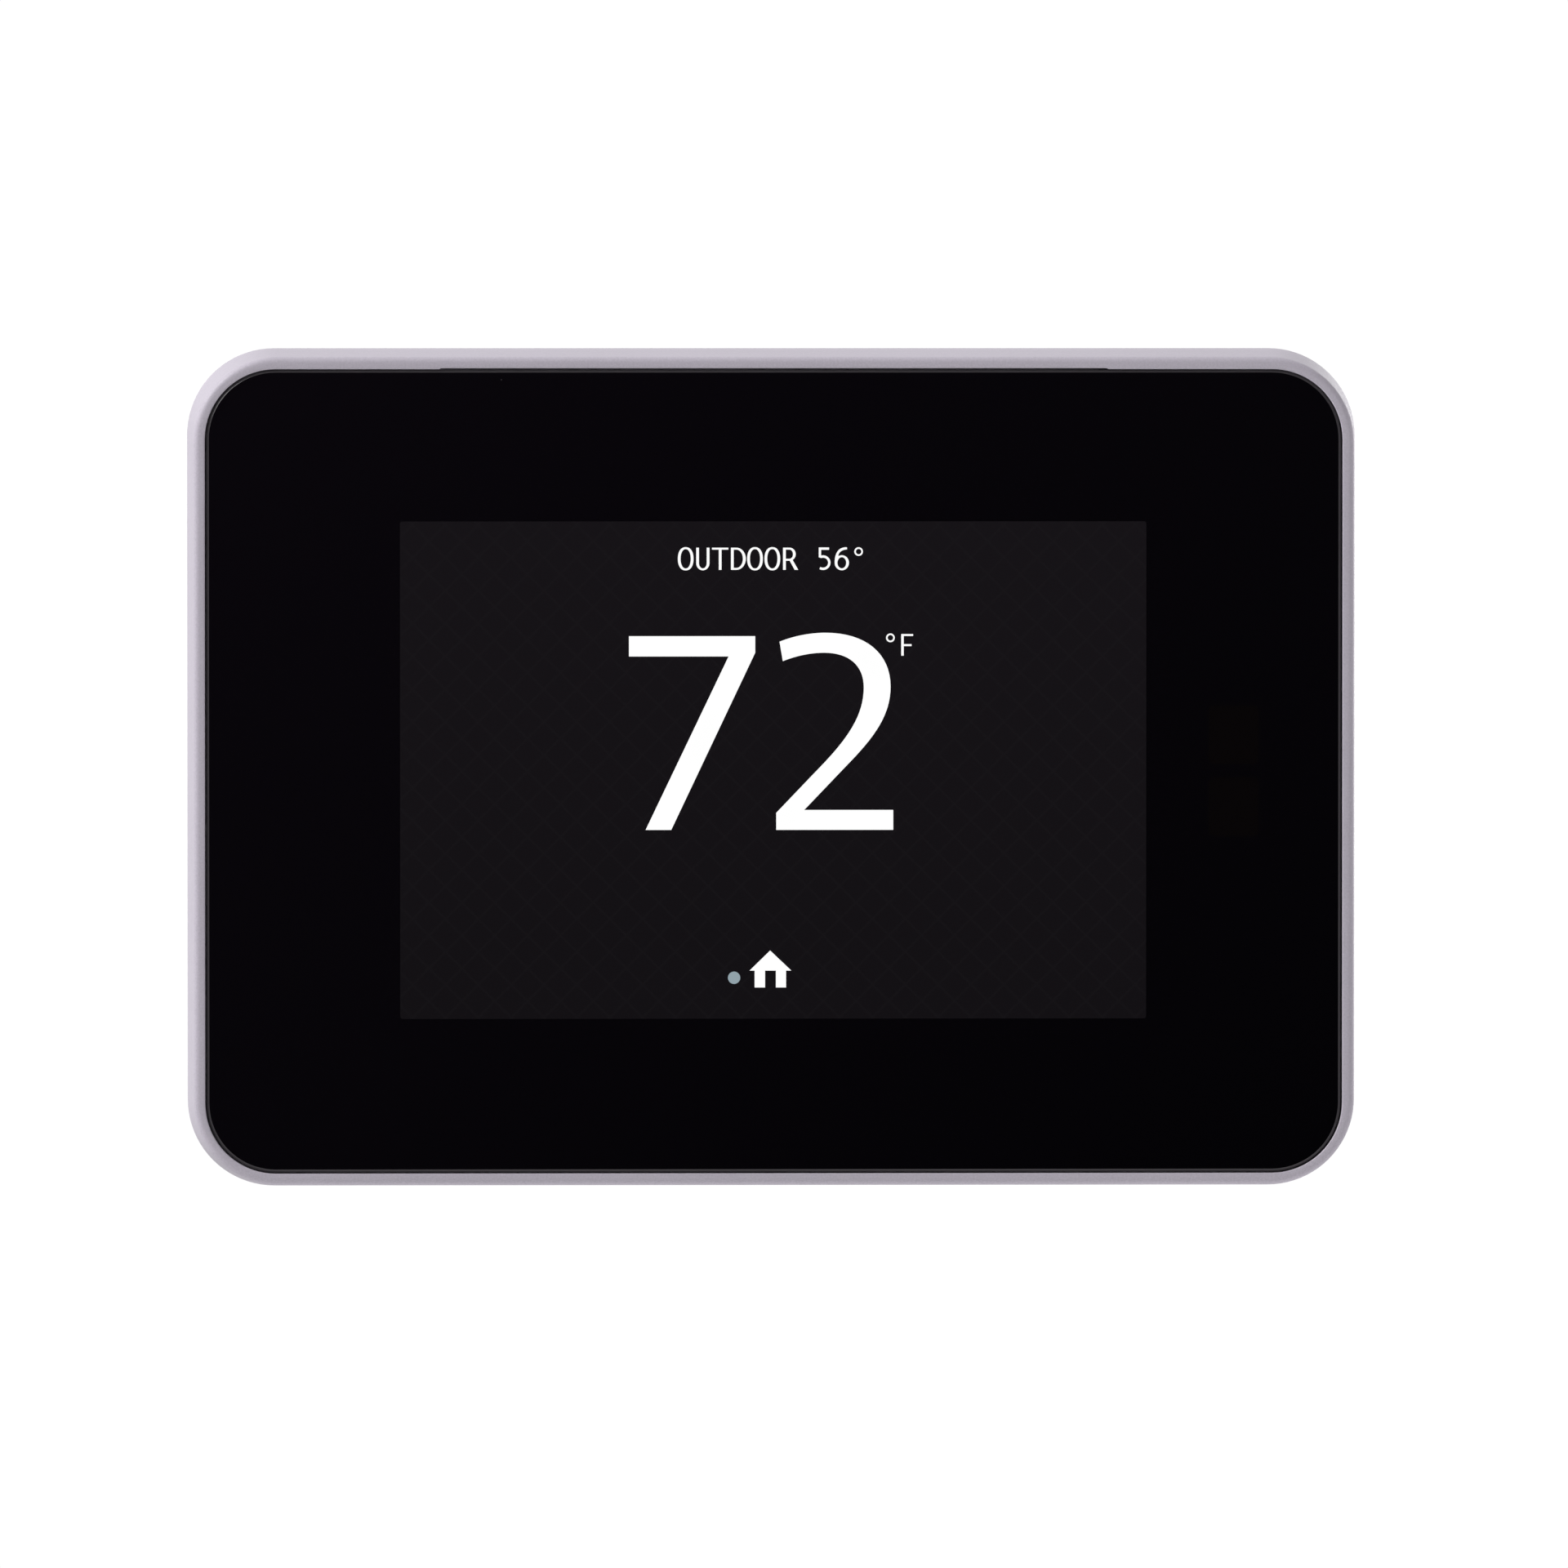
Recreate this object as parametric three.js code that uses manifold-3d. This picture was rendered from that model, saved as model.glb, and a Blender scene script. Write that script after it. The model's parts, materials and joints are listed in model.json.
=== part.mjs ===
// Wall thermostat: a touch-screen body that pulls straight off a wall plate, and the wall
// plate's wiring board with eight push-to-release spring terminals.
//
// Units are millimetres. X runs right, Z runs up and the front looks along -Y. The wall is
// the plane y = 0, and the origin is the centre of the wall plate's back face. A depth is a
// distance out from the wall, so depth d lies at y = -d.

import * as THREE from "three";
import { mergeVertices } from "three/addons/utils/BufferGeometryUtils.js";
import Module from "manifold-3d";

const wasm = await Module();
wasm.setup();

// ---- Driving dimensions ----------------------------------------------------------------

const BEZEL = {
  width: 131.7, height: 94.5, radius: 9.8,
  back: 7.0, front: 24.0,
  draft: 0.92,
  edge: 0.8, edgeSteps: 3,
  cavityWidth: 126.0, cavityHeight: 89.0, cavityRadius: 7.0,
  ledgeBack: 20.2, ledgeFront: 21.7,
  ledgeWidth: 116.0, ledgeHeight: 80.0, ledgeRadius: 10.0,
  reliefWidth: 75.0, reliefRise: 0.12,
};
const GLASS = {
  width: 127.0, height: 89.8, radius: 7.85, edge: 0.25,
  back: 22.3, front: 23.9,
  openingWidth: 127.3, openingHeight: 90.1, openingRadius: 8.0,
};
const GASKET = { width: 125.8, height: 88.4, insideWidth: 116.6, insideHeight: 80.6, radius: 7.2 };
const DISPLAY = {
  width: 95.0, height: 60.5,
  back: 20.2, front: 21.5,
  lightBack: 18.05, lightWidth: 94.6, lightHeight: 60.2,
  trayWidth: 96.6, trayHeight: 62.2, trayBack: 17.7, traySheet: 0.3, trayWall: 0.6,
  tapeInsideWidth: 88.0, tapeInsideHeight: 57.6, tapeFront: 21.75,
};
const TOUCH = { width: 92.0, height: 64.0, back: 21.8, front: 22.25 };

const SHELL = {
  width: 125.4, height: 88.4, radius: 6.7,
  floorBack: 7.4, floorFront: 9.0,
  skirtBack: 1.2, skirtWidth: 122.4, skirtHeight: 85.4, skirtRadius: 5.6, skirtWall: 1.6,
};
const CASE_SCREW = {
  x: 56.5, z: 38.0, length: 8.4,
  bossRadius: 3.2, bossBack: 10.5, holeDepth: 7.5, padRadius: 4.0, padFront: 10.4,
};
const BOARD_SCREW = { x: 52.0, z: 31.0, length: 6.6, bossRadius: 2.6, holeBack: 9.8 };
const POCKET = { halfWidth: 33.0, bottom: 3.0, top: 31.0, radius: 1.0, wall: 1.4, floor: 13.7 };
const SKIRT_VENT = { count: 9, pitch: 5.6, width: 3.2, back: 3.4, front: 5.8, reach: 4.0 };
const FLOOR_VENT = { count: 7, pitch: 2.8, width: 1.4, height: 5.6, z: -37.6 };

const MAIN_BOARD = {
  width: 110.0, height: 72.0, back: 15.6, front: 17.2, notchWidth: 3.0, notchHeight: 2.0,
};
const SOLDER_GAP = 0.05;
const RELAY = { x: -46, z: [22, 10, -2], width: 12.5, height: 7.5, stands: 5.5, edge: 0.3 };
const BUZZER = { x: -45, z: -20, radius: 6.0, stands: 5.8, edge: 0.4, soundHole: 1.2, holeFront: 12 };
const CAPACITOR = { x: -26, z: -12, radius: 4.0, stands: 5.9, edge: 0.4 };
const PROCESSOR = { x: -9, z: -28, width: 12.0, height: 12.0, stands: 1.4, edge: 0.1 };
const FLASH = { x: 10, z: -28, width: 8.0, height: 6.0, stands: 1.8, edge: 0.1 };
const RADIO = { x: 45, z: 15, width: 15.0, height: 22.0, stands: 0.8 };
const SHIELD = { x: 45, z: 12.5, width: 13.0, height: 14.5, radius: 0.8, sheet: 0.3, stands: 2.2 };
const CELL = { x: 38, z: -20, radius: 10.0, back: 11.3, front: 14.4, edge: 0.3, clearance: 0.3 };
const CELL_HOLDER = { width: 22.0, radius: 3.0, notchWidth: 9.0, notchHeight: 6.0, notchFront: 13.6 };
const SENSOR_BOARD = { width: 14, height: 7, back: 12.0, front: 12.8, z: -38.5, pinsZ: -35.5, pins: 4 };
const HUMIDITY_CHIP = { width: 3.0, stands: 1.1, portRadius: 0.55, portDepth: 0.5 };

const PROXIMITY = {
  left: 48.7, right: 56.0, halfHeight: 9.0, board: 19.0, face: 20.0,
  legLeft: 53.0, legRight: 54.6, legHalfHeight: 3.0,
  x: 51.5, z: 4.05, eyeWidth: 5.0, eyeHeight: 5.6, eye: 21.3, lensRadius: 1.6, lensDepth: 0.5,
};

const PLATE = { width: 118.0, height: 81.0, radius: 6.0, base: 2.0, rimWall: 1.6, rim: 7.0 };
const WIRE_OPENING = { halfWidth: 14.0, bottom: 5.0, top: 29.0 };
const WALL_SLOT = { x: 48.0, width: 4.0, length: 9.0, radius: 1.99 };
const BOARD_REST = { x: 33.0, z: 27.0, width: 4.0, height: 8.0 };
const AIR_GAP = { width: 52.0, back: 3.2, length: 12.0 };
const SNAP = {
  x: 30.0, width: 10.0, inside: 36.5, wall: 1.6, hook: 0.6, hookBack: 9.1, hookFront: 9.4, tip: 10.5,
};
const SNAP_SLOT = { width: 11.0, inside: 36.2, outside: 39.2 };

const WIRING_BOARD = {
  halfWidth: 36.0, bottom: -28.0, top: 32.0, back: 3.8, front: 5.4,
  notchHalfWidth: 16.0, notchBottom: 3.0,
  screwX: 33.0, screwZ: -24.0, screwLength: 3.6, bossRadius: 3.0, holeBack: 1.0,
};
const TERMINAL = {
  count: 4, pitch: 5.08, centreX: 24.5, centreZ: 17.0,
  width: 13.0, height: 22.0, back: 5.45, front: 11.9,
  cavityWidth: 8.0, cavityHeight: 3.4, cavityBack: 6.2, cavityFront: 10.2,
  wireDepth: 7.9, wireRadius: 1.1, wireLength: 5.0, wireSides: 12,
};
const TAB = {
  stemWidth: 3.7, stemHeight: 2.9, front: 13.1,
  footWidth: 5.0, footHeight: 3.0, footBack: 9.3, footFront: 10.1,
  slotWidth: 4.0, slotHeight: 3.2, grooveWidth: 2.1, grooveHeight: 0.6, grooveDepth: 0.5,
};
const CLIP = {
  width: 2.6, sheet: 0.3, back: 6.3, baseEnd: -3.4, bendX: 2.4, bendRadius: 0.8,
  armLength: 4.9, armSlope: 15,
};

const HEADER = { z: -16.0, columns: 6, rows: 2, pitch: 2.54, width: 15.8, height: 5.6 };
const HEADER_DEPTH = { back: 5.45, front: 7.9, pinFront: 14.0, pin: 0.64 };
const SOCKET_DEPTH = { back: 8.6, holeFront: 14.6, hole: 0.9, openingMargin: 0.8 };

const SHEET_SCREW = { headRadius: 2.3, headHeight: 1.3, shankRadius: 1.0, holeRadius: 1.35 };
const LONG_SCREW = {
  headRadius: 2.6, headHeight: 1.3, headClearance: 0.4, shankRadius: 1.15, holeRadius: 1.5,
};

const SCREW_EDGE = 0.25;
const CROSS = { length: 2.4, width: 0.6, depth: 0.7 };

const FLEX_SHEET = 0.25;
const FLEX_PLUG = { depth: 1.2, height: 3.5 };
const DISPLAY_RIBBON = { width: 18, gap: 0.3, turn: -54.3, end: -54.1, front: 20.85 };
const DISPLAY_PLUG = { x: -52, width: 20 };
const TOUCH_RIBBON = { x: 20, width: 8, gap: 0.3, turn: -36.1, end: -35.9, front: 22.03 };
const TOUCH_PLUG = { z: -33.8, width: 10 };

// Bodies that are joined run OVERLAP into each other, and a cutter runs CLEAR past what it cuts.
const OVERLAP = 0.5;
const CLEAR = 1;

// Curve steps: corners, round posts, and the rounds that show.
const CORNER = 3;
const ROUND = 8;
const FINE_CORNER = 5;

// ---- Outlines in the plane of the wall --------------------------------------------------

function rectangle(width, height, x = 0, z = 0) {
  const shape = new THREE.Shape();
  shape.moveTo(x - width / 2, z - height / 2);
  shape.lineTo(x + width / 2, z - height / 2);
  shape.lineTo(x + width / 2, z + height / 2);
  shape.lineTo(x - width / 2, z + height / 2);
  shape.closePath();
  return shape;
}

function between(left, right, bottom, top) {
  return rectangle(right - left, top - bottom, (left + right) / 2, (bottom + top) / 2);
}

function roundedRectangle(width, height, radius, x = 0, z = 0) {
  const right = x + width / 2 - radius;
  const left = x - width / 2 + radius;
  const top = z + height / 2 - radius;
  const bottom = z - height / 2 + radius;
  const shape = new THREE.Shape();
  shape.absarc(right, bottom, radius, -Math.PI / 2, 0);
  shape.absarc(right, top, radius, 0, Math.PI / 2);
  shape.absarc(left, top, radius, Math.PI / 2, Math.PI);
  shape.absarc(left, bottom, radius, Math.PI, 1.5 * Math.PI);
  shape.closePath();
  return shape;
}

function disc(radius, x = 0, z = 0) {
  const shape = new THREE.Shape();
  shape.absarc(x, z, radius, 0, 2 * Math.PI);
  return shape;
}

function withHole(outline, hole) {
  outline.holes.push(hole);
  return outline;
}

// ---- Solids ------------------------------------------------------------------------------

function solid(geometry) {
  geometry.deleteAttribute("normal");
  geometry.deleteAttribute("uv");
  const merged = mergeVertices(geometry);
  return new wasm.Manifold(new wasm.Mesh({
    numProp: 3,
    vertProperties: merged.attributes.position.array,
    triVerts: new Uint32Array(merged.index.array),
  }));
}

function geometryOf(body) {
  const mesh = body.getMesh();
  const geometry = new THREE.BufferGeometry();
  geometry.setAttribute("position", new THREE.BufferAttribute(mesh.vertProperties, 3));
  geometry.setIndex(new THREE.BufferAttribute(mesh.triVerts, 1));
  geometry.computeVertexNormals();
  return geometry;
}

// The outline, extruded outwards from one depth to another; edge breaks both of its rims.
function slabGeometry(outline, from, to, { edge = 0, edgeSteps = 1, segments = CORNER } = {}) {
  const geometry = new THREE.ExtrudeGeometry(outline, {
    depth: to - from - 2 * edge,
    bevelEnabled: edge > 0,
    bevelThickness: edge,
    bevelSize: edge,
    bevelOffset: -edge,
    bevelSegments: edgeSteps,
    curveSegments: segments,
  });
  return geometry.applyMatrix4(new THREE.Matrix4().set(
    1, 0, 0, 0,
    0, 0, -1, -(from + edge),
    0, 1, 0, 0,
    0, 0, 0, 1,
  ));
}

function slab(outline, from, to, options) {
  return solid(slabGeometry(outline, from, to, options));
}

function post(radius, x, z, from, to) {
  return slab(disc(radius, x, z), from, to, { segments: ROUND });
}

// An outline drawn in X and depth, extruded along Z about a centre height.
function profileAlongZ(outline, width, z, segments = CORNER) {
  const geometry = new THREE.ExtrudeGeometry(outline, {
    depth: width, bevelEnabled: false, curveSegments: segments,
  });
  return solid(geometry.applyMatrix4(new THREE.Matrix4().set(
    1, 0, 0, 0,
    0, -1, 0, 0,
    0, 0, -1, z + width / 2,
    0, 0, 0, 1,
  )));
}

// An outline drawn in Z and depth, extruded along X about a centre position.
function profileAlongX(outline, width, x, segments = CORNER) {
  const geometry = new THREE.ExtrudeGeometry(outline, {
    depth: width, bevelEnabled: false, curveSegments: segments,
  });
  return solid(geometry.applyMatrix4(new THREE.Matrix4().set(
    0, 0, 1, x - width / 2,
    0, -1, 0, 0,
    1, 0, 0, 0,
    0, 0, 0, 1,
  )));
}

function union(bodies) {
  return bodies.reduce((whole, body) => whole.add(body));
}

function cut(body, tools) {
  return tools.reduce((rest, tool) => rest.subtract(tool), body);
}

// Calls make(x, z) for the four corners of a rectangle.
function atCorners(x, z, make) {
  return [[-x, -z], [x, -z], [x, z], [-x, z]].map(([cornerX, cornerZ]) => make(cornerX, cornerZ));
}

// Calls make(offset) for count places at a pitch, centred on zero.
function inRow(count, pitch, make) {
  return Array.from({ length: count }, (_, index) => make((index - (count - 1) / 2) * pitch));
}

// ---- Scene graph -------------------------------------------------------------------------

const thermostat = new THREE.Group();
const wallSide = new THREE.Group();
const bodySide = new THREE.Group();
thermostat.add(wallSide, bodySide);

function finish(color, roughness, metalness = 0) {
  return { color, roughness, metalness };
}

const SILVER_PLASTIC = finish(0xc4bfca, 0.55);
const WHITE_PLASTIC = finish(0xe9e8e4, 0.6);
const BLACK_PLASTIC = finish(0x1b1b1d, 0.5);
const BLACK_GLASS = finish(0x08070a, 0.08);
const BLACK_FOAM = finish(0x161616, 0.95);
const PANEL_GLASS = finish(0x141317, 0.15);
const CLEAR_FILM = finish(0x2a2a30, 0.2);
const LIGHT_GUIDE = finish(0xdde3e6, 0.35);
const GREEN_BOARD = finish(0x1f5a34, 0.45);
const DARK_BOARD = finish(0x16241d, 0.45);
const AMBER_FILM = finish(0x8a5a1e, 0.35);
const STEEL = finish(0xa9abad, 0.35, 1);
const TINNED_SHEET = finish(0xc0c2c4, 0.3, 1);
const SPRING_BRONZE = finish(0xb08d57, 0.35, 1);
const ORANGE_PLASTIC = finish(0xd9772b, 0.5);
const GREY_PLASTIC = finish(0x6d7072, 0.55);
const CHIP_EPOXY = finish(0x202022, 0.55);

function place(group, name, body, look, x = 0, depth = 0, z = 0) {
  const mesh = new THREE.Mesh(geometryOf(body), new THREE.MeshStandardMaterial(look));
  mesh.name = name;
  mesh.position.set(x, -depth, z);
  group.add(mesh);
  return mesh;
}

// ---- Fasteners ---------------------------------------------------------------------------

// A cross-head screw. Its head stands on depth 0 and its shank runs back from there.
function screw(size, shankLength) {
  const head = slab(disc(size.headRadius), 0, size.headHeight, { edge: SCREW_EDGE, segments: ROUND });
  const shank = post(size.shankRadius, 0, 0, -shankLength, OVERLAP);
  const crossBack = size.headHeight - CROSS.depth;
  const crossFront = size.headHeight + CLEAR;
  const recess = union([
    slab(rectangle(CROSS.length, CROSS.width), crossBack, crossFront),
    slab(rectangle(CROSS.width, CROSS.length), crossBack, crossFront),
  ]);
  return head.add(shank).subtract(recess);
}

// ---- Wall plate --------------------------------------------------------------------------

// One of the four arms that the body snaps over, with its hook facing away from the middle.
function snapArm(sideX, sideZ) {
  const outside = SNAP.inside + SNAP.wall;
  const profile = new THREE.Shape([
    [SNAP.inside, PLATE.base - OVERLAP],
    [outside, PLATE.base - OVERLAP],
    [outside, SNAP.hookBack],
    [outside + SNAP.hook, SNAP.hookFront],
    [outside, SNAP.tip],
    [SNAP.inside, SNAP.tip],
  ].map(([z, depth]) => new THREE.Vector2(sideZ * z, depth)));
  return profileAlongX(profile, SNAP.width, sideX * SNAP.x);
}

function wallPlate() {
  const outline = roundedRectangle(PLATE.width, PLATE.height, PLATE.radius);
  const inside = roundedRectangle(
    PLATE.width - 2 * PLATE.rimWall,
    PLATE.height - 2 * PLATE.rimWall,
    PLATE.radius - PLATE.rimWall,
  );
  const tray = slab(outline, 0, PLATE.rim).subtract(slab(inside, PLATE.base, PLATE.rim + CLEAR));

  const boardBack = WIRING_BOARD.back - SOLDER_GAP;
  const bosses = [-1, 1].map((side) => post(
    WIRING_BOARD.bossRadius, side * WIRING_BOARD.screwX, WIRING_BOARD.screwZ,
    PLATE.base - OVERLAP, boardBack,
  ));
  const rests = [-1, 1].map((side) => slab(
    rectangle(BOARD_REST.width, BOARD_REST.height, side * BOARD_REST.x, BOARD_REST.z),
    PLATE.base - OVERLAP, boardBack,
  ));
  const snaps = [-1, 1].flatMap((sideX) => [-1, 1].map((sideZ) => snapArm(sideX, sideZ)));

  const wireOpening = slab(
    between(-WIRE_OPENING.halfWidth, WIRE_OPENING.halfWidth, WIRE_OPENING.bottom, WIRE_OPENING.top),
    -CLEAR, PLATE.base + CLEAR,
  );
  const { x, width, length, radius } = WALL_SLOT;
  const slots = [
    slab(roundedRectangle(width, length, radius, -x), -CLEAR, PLATE.base + CLEAR),
    slab(roundedRectangle(length, width, radius, x), -CLEAR, PLATE.base + CLEAR),
  ];
  const screwHoles = [-1, 1].map((side) => post(
    SHEET_SCREW.holeRadius, side * WIRING_BOARD.screwX, WIRING_BOARD.screwZ,
    WIRING_BOARD.holeBack, PLATE.rim,
  ));
  const airGaps = [-1, 1].map((side) => slab(
    rectangle(AIR_GAP.width, AIR_GAP.length, 0, side * PLATE.height / 2),
    AIR_GAP.back, PLATE.rim + CLEAR,
  ));

  return cut(
    union([cut(tray, airGaps), ...bosses, ...rests, ...snaps]),
    [wireOpening, ...slots, ...screwHoles],
  );
}

place(wallSide, "wall_plate", wallPlate(), WHITE_PLASTIC);

// ---- Wiring board ------------------------------------------------------------------------

function wiringBoard() {
  const { halfWidth, bottom, top, back, front, notchHalfWidth, notchBottom } = WIRING_BOARD;
  const blank = slab(between(-halfWidth, halfWidth, bottom, top), back, front);
  const notch = slab(
    between(-notchHalfWidth, notchHalfWidth, notchBottom, top + CLEAR), back - CLEAR, front + CLEAR,
  );
  const holes = [-1, 1].map((side) => post(
    SHEET_SCREW.holeRadius, side * WIRING_BOARD.screwX, WIRING_BOARD.screwZ,
    back - CLEAR, front + CLEAR,
  ));
  return cut(blank, [notch, ...holes]);
}

place(wallSide, "wiring_board", wiringBoard(), GREEN_BOARD);

for (const [name, side] of [["left", -1], ["right", 1]]) {
  place(
    wallSide, `wiring_board_screw_${name}`, screw(SHEET_SCREW, WIRING_BOARD.screwLength), STEEL,
    side * WIRING_BOARD.screwX, WIRING_BOARD.front + SOLDER_GAP, WIRING_BOARD.screwZ,
  );
}

// ---- Spring terminals --------------------------------------------------------------------

// A row of four terminals, centred on its own middle. Wires enter through the side that
// faces the wire opening: +1 for an opening at -X, -1 for one at +X.
function terminalBlock(side) {
  const block = slab(rectangle(TERMINAL.width, TERMINAL.height), TERMINAL.back, TERMINAL.front);
  const cells = inRow(TERMINAL.count, TERMINAL.pitch, (z) => {
    const cavity = slab(
      rectangle(TERMINAL.cavityWidth, TERMINAL.cavityHeight, 0, z),
      TERMINAL.cavityBack, TERMINAL.cavityFront,
    );
    const tabSlot = slab(
      rectangle(TAB.slotWidth, TAB.slotHeight, 0, z),
      TERMINAL.cavityFront - CLEAR, TERMINAL.front + CLEAR,
    );
    const bore = new THREE.CylinderGeometry(
      TERMINAL.wireRadius, TERMINAL.wireRadius, TERMINAL.wireLength, TERMINAL.wireSides,
    );
    bore.rotateZ(Math.PI / 2);
    bore.translate(-side * TERMINAL.width / 2, -TERMINAL.wireDepth, z);
    return union([cavity, tabSlot, solid(bore)]);
  });
  return cut(block, cells);
}

function terminalTab() {
  const foot = slab(rectangle(TAB.footWidth, TAB.footHeight), TAB.footBack, TAB.footFront);
  const stem = slab(
    rectangle(TAB.stemWidth, TAB.stemHeight), TAB.footFront - OVERLAP, TAB.front,
  );
  const groove = slab(
    rectangle(TAB.grooveWidth, TAB.grooveHeight), TAB.front - TAB.grooveDepth, TAB.front + CLEAR,
  );
  return foot.add(stem).subtract(groove);
}

// A bent leaf: a flat base, a bend, and an arm that slopes back over the base.
function terminalClip() {
  const { sheet, back, baseEnd, bendX, bendRadius, armLength } = CLIP;
  const slope = THREE.MathUtils.degToRad(CLIP.armSlope);
  const bendEnd = Math.PI / 2 - slope;
  const bendDepth = back + bendRadius;
  const along = new THREE.Vector2(-Math.cos(slope), Math.sin(slope)).multiplyScalar(armLength);
  const pointOn = (radius) => new THREE.Vector2(
    bendX + radius * Math.cos(bendEnd), bendDepth + radius * Math.sin(bendEnd),
  );
  const outerTip = pointOn(bendRadius).add(along);
  const innerTip = pointOn(bendRadius - sheet).add(along);
  const profile = new THREE.Shape();
  profile.moveTo(baseEnd, back);
  profile.lineTo(bendX, back);
  profile.absarc(bendX, bendDepth, bendRadius, -Math.PI / 2, bendEnd);
  profile.lineTo(outerTip.x, outerTip.y);
  profile.lineTo(innerTip.x, innerTip.y);
  profile.absarc(bendX, bendDepth, bendRadius - sheet, bendEnd, -Math.PI / 2, true);
  profile.lineTo(baseEnd, back + sheet);
  profile.closePath();
  return profileAlongZ(profile, CLIP.width, 0, 2);
}

// Terminals are numbered down the left block and then down the right one.
let terminalNumber = 0;
for (const [name, side] of [["left", -1], ["right", 1]]) {
  const x = side * TERMINAL.centreX;
  place(wallSide, `terminal_block_${name}`, terminalBlock(side), GREY_PLASTIC, x, 0, TERMINAL.centreZ);
  for (const offset of inRow(TERMINAL.count, -TERMINAL.pitch, (down) => down)) {
    const z = TERMINAL.centreZ + offset;
    terminalNumber += 1;
    place(wallSide, `terminal_tab_${terminalNumber}`, terminalTab(), ORANGE_PLASTIC, x, 0, z);
    const clip = place(
      wallSide, `terminal_clip_${terminalNumber}`, terminalClip(), SPRING_BRONZE, x, 0, z,
    );
    clip.rotation.y = side > 0 ? 0 : Math.PI;
  }
}

// ---- Board-to-board connector --------------------------------------------------------------

function pinGrid(make) {
  return inRow(HEADER.columns, HEADER.pitch, (x) => inRow(
    HEADER.rows, HEADER.pitch, (z) => make(x, HEADER.z + z),
  )).flat();
}

function pinHeader() {
  const block = slab(
    rectangle(HEADER.width, HEADER.height, 0, HEADER.z), HEADER_DEPTH.back, HEADER_DEPTH.front,
  );
  const pins = pinGrid((x, z) => slab(
    rectangle(HEADER_DEPTH.pin, HEADER_DEPTH.pin, x, z),
    HEADER_DEPTH.front - OVERLAP, HEADER_DEPTH.pinFront,
  ));
  return union([block, ...pins]);
}

function socketConnector() {
  const block = slab(
    rectangle(HEADER.width, HEADER.height, 0, HEADER.z),
    SOCKET_DEPTH.back, MAIN_BOARD.back - SOLDER_GAP,
  );
  return cut(block, pinGrid((x, z) => slab(
    rectangle(SOCKET_DEPTH.hole, SOCKET_DEPTH.hole, x, z),
    SOCKET_DEPTH.back - CLEAR, SOCKET_DEPTH.holeFront,
  )));
}

place(wallSide, "pin_header", pinHeader(), BLACK_PLASTIC);
place(bodySide, "socket_connector", socketConnector(), BLACK_PLASTIC);

// ---- Rear shell ----------------------------------------------------------------------------

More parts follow.
